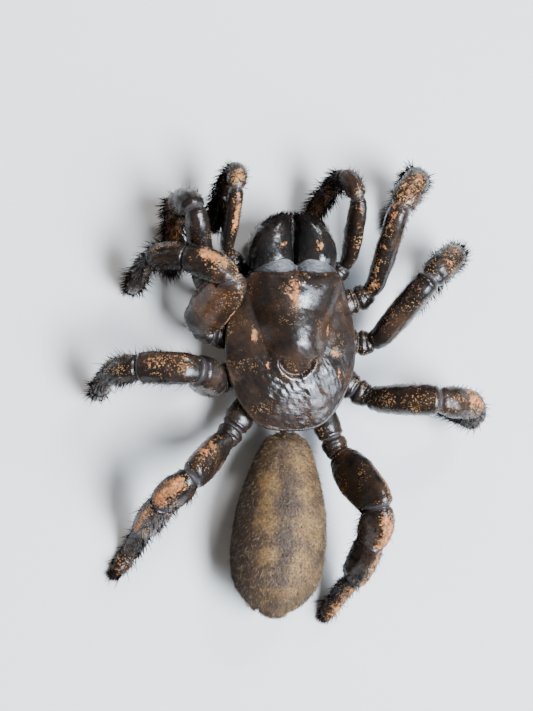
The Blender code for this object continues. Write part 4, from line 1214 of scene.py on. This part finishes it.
def fang_skin(side):
    sign = 1 if side == "right" else -1
    line = smooth_through(FANG_LINE, 14)
    shares = np.linspace(0, 1, len(line))
    radii = 0.42 * (1 - shares) ** 0.7 + 0.05
    along = unit(np.gradient(line, axis=0))
    right = np.array((1.0, 0, 0))
    up = unit(np.cross(np.broadcast_to(right, along.shape), along))
    angles = TURN * np.arange(28) / 28
    rings = line[:, None] + radii[:, None, None] * (
        right * np.cos(angles)[None, :, None] + up[:, None] * np.sin(angles)[None, :, None]
    )
    rings = round_ends(rings, start=0.2, end=0.05)
    rings[..., 0] *= sign
    return Skin(rings)


def dress_shield(stuff, draw):
    shield = carapace_skin()
    shield.build("carapace_skin", stuff["body"], "body_cuticle", ["carapace"])
    coat = Coat("carapace_bristles")
    x, y = shield.points[..., 0], shield.points[..., 1]
    ring = np.arange(len(shield.points))[:, None]
    margin = (ring > MARGIN_RINGS[0]) & (ring < MARGIN_RINGS[1])
    head = (ring < TOP_RINGS) & (np.abs(x) < 1.4) & (y > 2.6)
    midline = (ring < TOP_RINGS) & (np.abs(x) < 0.35) & (y > 0.2)
    grow(coat, shield, 420, margin, (0.12, 0.3), (0.008, 0.013), 55, draw, tilt=0.8)
    grow(coat, shield, 260, head, (0.12, 0.34), (0.008, 0.014), 62, draw, tilt=1.0)
    grow(coat, shield, 160, midline, (0.12, 0.26), (0.008, 0.012), 55, draw, tilt=1.0)
    coat.build(stuff["bristle"], "body_cuticle")
    eyes = []
    for cx, cy, radius in EYES:
        reach = np.hypot(cx, cy - FOVEA_CENTRE[1])
        edge = reach / (CARAPACE_HALF_OUTLINE[-1][1] - FOVEA_CENTRE[1])
        top = float(carapace_top(np.array(cx), np.array(cy), edge, reach))
        eyes += [ball((sign * cx, cy, top - 0.25 * radius), radius) for sign in (-1, 1)]
    points, faces = joined(eyes)
    add_piece("eyes", points, [faces], stuff["eye"])


def dress_underside(stuff, draw):
    plate = outline_skin(STERNUM_HALF_OUTLINE, STERNUM_CENTRE, STERNUM_LEVELS, 71, 0.015)
    plate.build("sternum_skin", stuff["body"], "body_cuticle", ["sternum"])
    coat = Coat("sternum_bristles")
    below = plate.normal[..., 2] < -0.3
    grow(coat, plate, 500, below, (0.2, 0.5), (0.01, 0.017), 50, draw, tilt=2.0)
    coat.build(stuff["bristle"], "body_cuticle")
    flank = outline_skin(CARAPACE_HALF_OUTLINE, FOVEA_CENTRE, FLANK_LEVELS, 72, 0.05)
    flank.build("flank_skin", stuff["membrane"], "membrane")
    lip = Skin(round_ends(ellipse_rings(LABIUM_STATIONS, 40), end=0.1)).carry(dust=0, soft=0, amber=0.5)
    lip.build("labium_skin", stuff["body"], "body_cuticle", ["labium"])
    waist = []
    for y in np.linspace(-5.5, -3.5, 40):
        waist.append((y, 0, 2.5, 0.5 - 0.1 * bump(y, -4.6, 0.3) + 0.012 * math.sin(40 * y), 0.4))
    Skin(ellipse_rings(waist, 40)).build("pedicel_skin", stuff["membrane"], "membrane", ["pedicel"])
    fold_skin().build("jaw_fold_skin", stuff["membrane"], "membrane", ["cheliceral_membrane"])


def dress_jaws(stuff):
    teeth = []
    draw = np.random.default_rng(202)
    for side, sign in (("left", -1), ("right", 1)):
        skin = jaw_skin(side)
        skin.build(f"jaw_{side}_skin", stuff["jaw"], "body_cuticle", [f"chelicera_{side}"])
        fang_skin(side).build(f"fang_{side}_horn", stuff["fang"], "fang", [f"fang_{side}"])
        coat = Coat(f"jaw_{side}_bristles")
        y = skin.points[..., 1]
        top = skin.normal[..., 2] > 0.1
        front = top * smooth_step(y, 7.0, 7.9)
        back = top * (1 - smooth_step(y, 6.8, 7.4))
        grow(coat, skin, 620, front, (0.25, 0.55), (0.011, 0.018), 38, draw, curl=0.4, tilt=0.5)
        grow(coat, skin, 90, back, (0.15, 0.34), (0.01, 0.014), 35, draw, curl=0.3)
        grow(coat, skin, 500, skin.normal[..., 2] < -0.5, (0.3, 0.6), (0.01, 0.017), 45, draw, curl=0.3)
        coat.build(stuff["bristle"], "body_cuticle")
        for share in np.arange(RAKE_SPINES) / (RAKE_SPINES - 1):
            row = draw.uniform(-0.16, 0.2)
            root = np.array((0.34 + 0.95 * share, 7.95 - 0.32 * share + 0.4 * row, 4.3 - 0.42 * share - row))
            tip = root + (0.06, draw.uniform(0.3, 0.46), draw.uniform(0.06, 0.2))
            tip[1] = min(tip[1], RAKE_FRONT)
            mirror = np.array((sign, 1, 1))
            teeth.append(spike(root * mirror - (0, 0.15, 0), tip * mirror, 0.07, hook=(0, 0, 0.05)))
    points, faces = joined(teeth)
    add_piece("jaw_rake_spines", points, [faces], stuff["spine"])


def dress_abdomen(stuff):
    skin = abdomen_skin()
    skin.build("abdomen_skin", stuff["velvet_skin"], "velvet", ["abdomen"])
    seen = (skin.normal[..., 2] > -0.92) & (skin.points[..., 2] > 0.06)
    for k, count in enumerate(ABDOMEN_HAIRS):
        draw = np.random.default_rng(300 + k)
        coat = Coat(f"abdomen_coat_{k + 1}")
        grow_velvet(coat, skin, count, seen, (0.17, 0.31), (0.007, 0.0115), 48, draw)
        if k == 0:
            grow_velvet(coat, skin, 1300, seen, (0.4, 0.65), (0.007, 0.011), 50, draw)
        build_velvet(coat, stuff)
    tail = Coat("spinneret_coat")
    draw = np.random.default_rng(350)
    for side in ("left", "right"):
        part = spinneret_skin(side)
        part.build(f"spinneret_{side}_skin", stuff["velvet_skin"], "velvet", [f"spinneret_{side}"])
        grow_velvet(tail, part, 700, part.points[..., 2] > 0.05, (0.15, 0.32), (0.008, 0.012), 30, draw)
    build_velvet(tail, stuff)


def grow_velvet(coat, skin, count, weight, length, radius, rise, draw):
    """Velvet carries the skin's pattern in place of dust."""
    skin.values["dust"] = skin.values["pale"]
    grow(coat, skin, count, weight, length, radius, rise, draw, curl=0.3, tilt=0.9, rings=2)


def build_velvet(coat, stuff):
    obj = coat.build(stuff["velvet_hair"], "velvet")
    obj.data.attributes["dust"].name = "pale"


def dress_limb(limb, stuff, draw):
    skin = skin_of_limb(limb)
    nodes = [f"{limb.name}_{piece}" for piece in PIECES if not (limb.kind == "palp" and piece == "tibia")]
    skin.build(f"{limb.name}_skin", stuff["limb"], "limb_cuticle", nodes)
    coat = Coat(f"{limb.name}_bristles")
    below = smooth_step(-np.sin(skin.angles), -0.2, 0.7)
    flank = np.abs(np.cos(skin.angles)) ** 2
    bare = 1 - skin.values["soft"]
    last = len(limb.joint_run) - 1

    def inside(low, high):
        return (skin.where[:, None] > low) & (skin.where[:, None] < high)

    for low, high, count, length, radius, rise, (even, under, aside) in LIMB_HAIRS:
        weight = inside(low, min(high, last)) * bare * (even + under * below + aside * flank)
        grow(coat, skin, int(count * HAIR_SHARE), weight, length, radius, rise, draw)
    spiny = HIND_SPINES if limb.kind in ("leg3", "leg4") else 1.0
    upright = inside(2.35, last) * (0.15 + flank) * bare
    count = int(130 + 150 * spiny)
    grow(coat, skin, count, upright, (0.32, 0.62), (0.013, 0.02), 60, draw, curl=0.08, tilt=0.25)
    for low, high, count, length, radius, rise in (
        (3, 4, 110, (0.5, 0.9), (0.025, 0.037), 52),
        (4, last, 190, (0.5, 1.0), (0.026, 0.04), 55),
    ):
        weight = inside(low, high) * flank * bare
        grow(coat, skin, int(count * spiny), weight, length, radius, rise, draw, tilt=0.2)
    grow(coat, skin, 60, inside(2, 3) * below * bare, (0.5, 0.8), (0.016, 0.024), 45, draw, tilt=0.2)
    tuft = inside(last - 0.25, last + 0.2)
    grow(coat, skin, 200, tuft, (0.25, 0.5), (0.01, 0.015), 34, draw, tilt=0.5)
    coat.build(stuff["bristle"], "limb_cuticle")
    return claws_of(limb)


def claws_of(limb):
    """Two hooked claws and a small one under them."""
    point, along, side, _, _ = limb.section(limb.run[-1])
    shapes = []
    for turn in (-1, 1, 0):
        size = 0.36 if turn else 0.22
        root = point + side * turn * 0.12 - along * 0.1 + np.array((0, 0, 0.06 * abs(turn)))
        tip = point + along * size + side * turn * 0.24
        root[2] = max(root[2], 0.22)
        tip[2] = max(tip[2] - 0.12, 0.05)
        shapes.append(spike(root, tip, 0.085 if turn else 0.055, hook=(0, 0, 0.09), power=0.6))
    return shapes


def studio():
    """A plain pale floor, a large cool key light from the upper right, and soft fill."""
    bpy.ops.mesh.primitive_plane_add(size=1.6, location=(0, 0, 0))
    floor = bpy.context.object
    floor.name = "floor"
    floor.data.materials.append(floor_material())
    world = bpy.data.worlds.new("studio")
    bpy.context.scene.world = world
    world.use_nodes = True
    world.node_tree.nodes["Background"].inputs[0].default_value = (*WORLD_COLOUR, 1)
    world.node_tree.nodes["Background"].inputs[1].default_value = WORLD_STRENGTH
    for name, place, size, power, colour, shines in LIGHTS:
        data = bpy.data.lights.new(name, "AREA")
        data.shape = "RECTANGLE"
        data.size, data.size_y = size
        data.energy = power
        data.color = colour
        lamp = bpy.data.objects.new(name, data)
        bpy.context.scene.collection.objects.link(lamp)
        lamp.visible_glossy = shines
        place = np.array(place)
        back = unit(place)
        right = unit(np.cross((0, 1, 0.01), back))
        rows = np.stack([right, np.cross(back, right), back], axis=-1)
        matrix = np.eye(4)
        matrix[:3, :3], matrix[:3, 3] = rows, place
        lamp.matrix_world = Matrix(matrix.tolist())


def aim_camera():
    """The photo's view: from above, a little from the spider's left, with the head up in the picture."""
    lean = math.radians(VIEW_LEAN)
    right = np.array((math.cos(lean), 0, math.sin(lean)))
    back = np.array((-math.sin(lean), 0, math.cos(lean)))
    place = np.array((0, 0, VIEW_HEIGHT)) + VIEW_DISTANCE * back
    place += -VIEW_RIGHT * PIXEL * right + np.array((0, -VIEW_DOWN * PIXEL, 0))
    matrix = np.eye(4)
    matrix[:3, :3] = np.stack([right, (0, 1, 0), back], axis=-1)
    matrix[:3, 3] = (place + OFFSET) * MM
    data = bpy.data.cameras.new("camera")
    data.sensor_fit = "VERTICAL"
    data.sensor_height = 36.0
    data.lens = 36.0 * VIEW_DISTANCE / PIXEL / IMAGE_ROWS
    data.clip_start = 0.001
    camera = bpy.data.objects.new("camera", data)
    bpy.context.scene.collection.objects.link(camera)
    camera.matrix_world = Matrix(matrix.tolist())
    bpy.context.scene.camera = camera


def main():
    stuff = {
        "body": cuticle_material(
            "body_cuticle", CUTICLE_DARK, CUTICLE_BROWN, gloss=0.2, grain=0.35, mirror=0.3
        ),
        "jaw": cuticle_material("jaw_cuticle", JAW_DARK, JAW_BROWN, gloss=0.13, grain=0.2, mirror=0.2),
        "limb": cuticle_material(
            "limb_cuticle", CUTICLE_DARK, CUTICLE_BROWN, gloss=0.18, grain=0.85, mirror=0.15
        ),
        "bristle": hair_material("bristle", BRISTLE_DARK, BRISTLE_BROWN),
        "velvet_skin": velvet_skin_material(),
        "velvet_hair": velvet_hair_material(),
        "membrane": membrane_material(),
        "fang": horn_material("fang_horn", FANG_DARK, FANG_RED, rough=0.08),
        "spine": horn_material("spine_horn", SPINE_DARK, SPINE_BROWN, rough=0.16),
        "eye": eye_material(),
    }
    draw = np.random.default_rng(101)
    dress_shield(stuff, draw)
    dress_underside(stuff, draw)
    dress_jaws(stuff)
    dress_abdomen(stuff)
    claws = []
    for number, name in enumerate(HIPS):
        claws += dress_limb(Limb(name), stuff, np.random.default_rng(400 + number))
    points, faces = joined(claws)
    add_piece("claws", points, [faces], stuff["spine"])
    studio()
    aim_camera()


main()
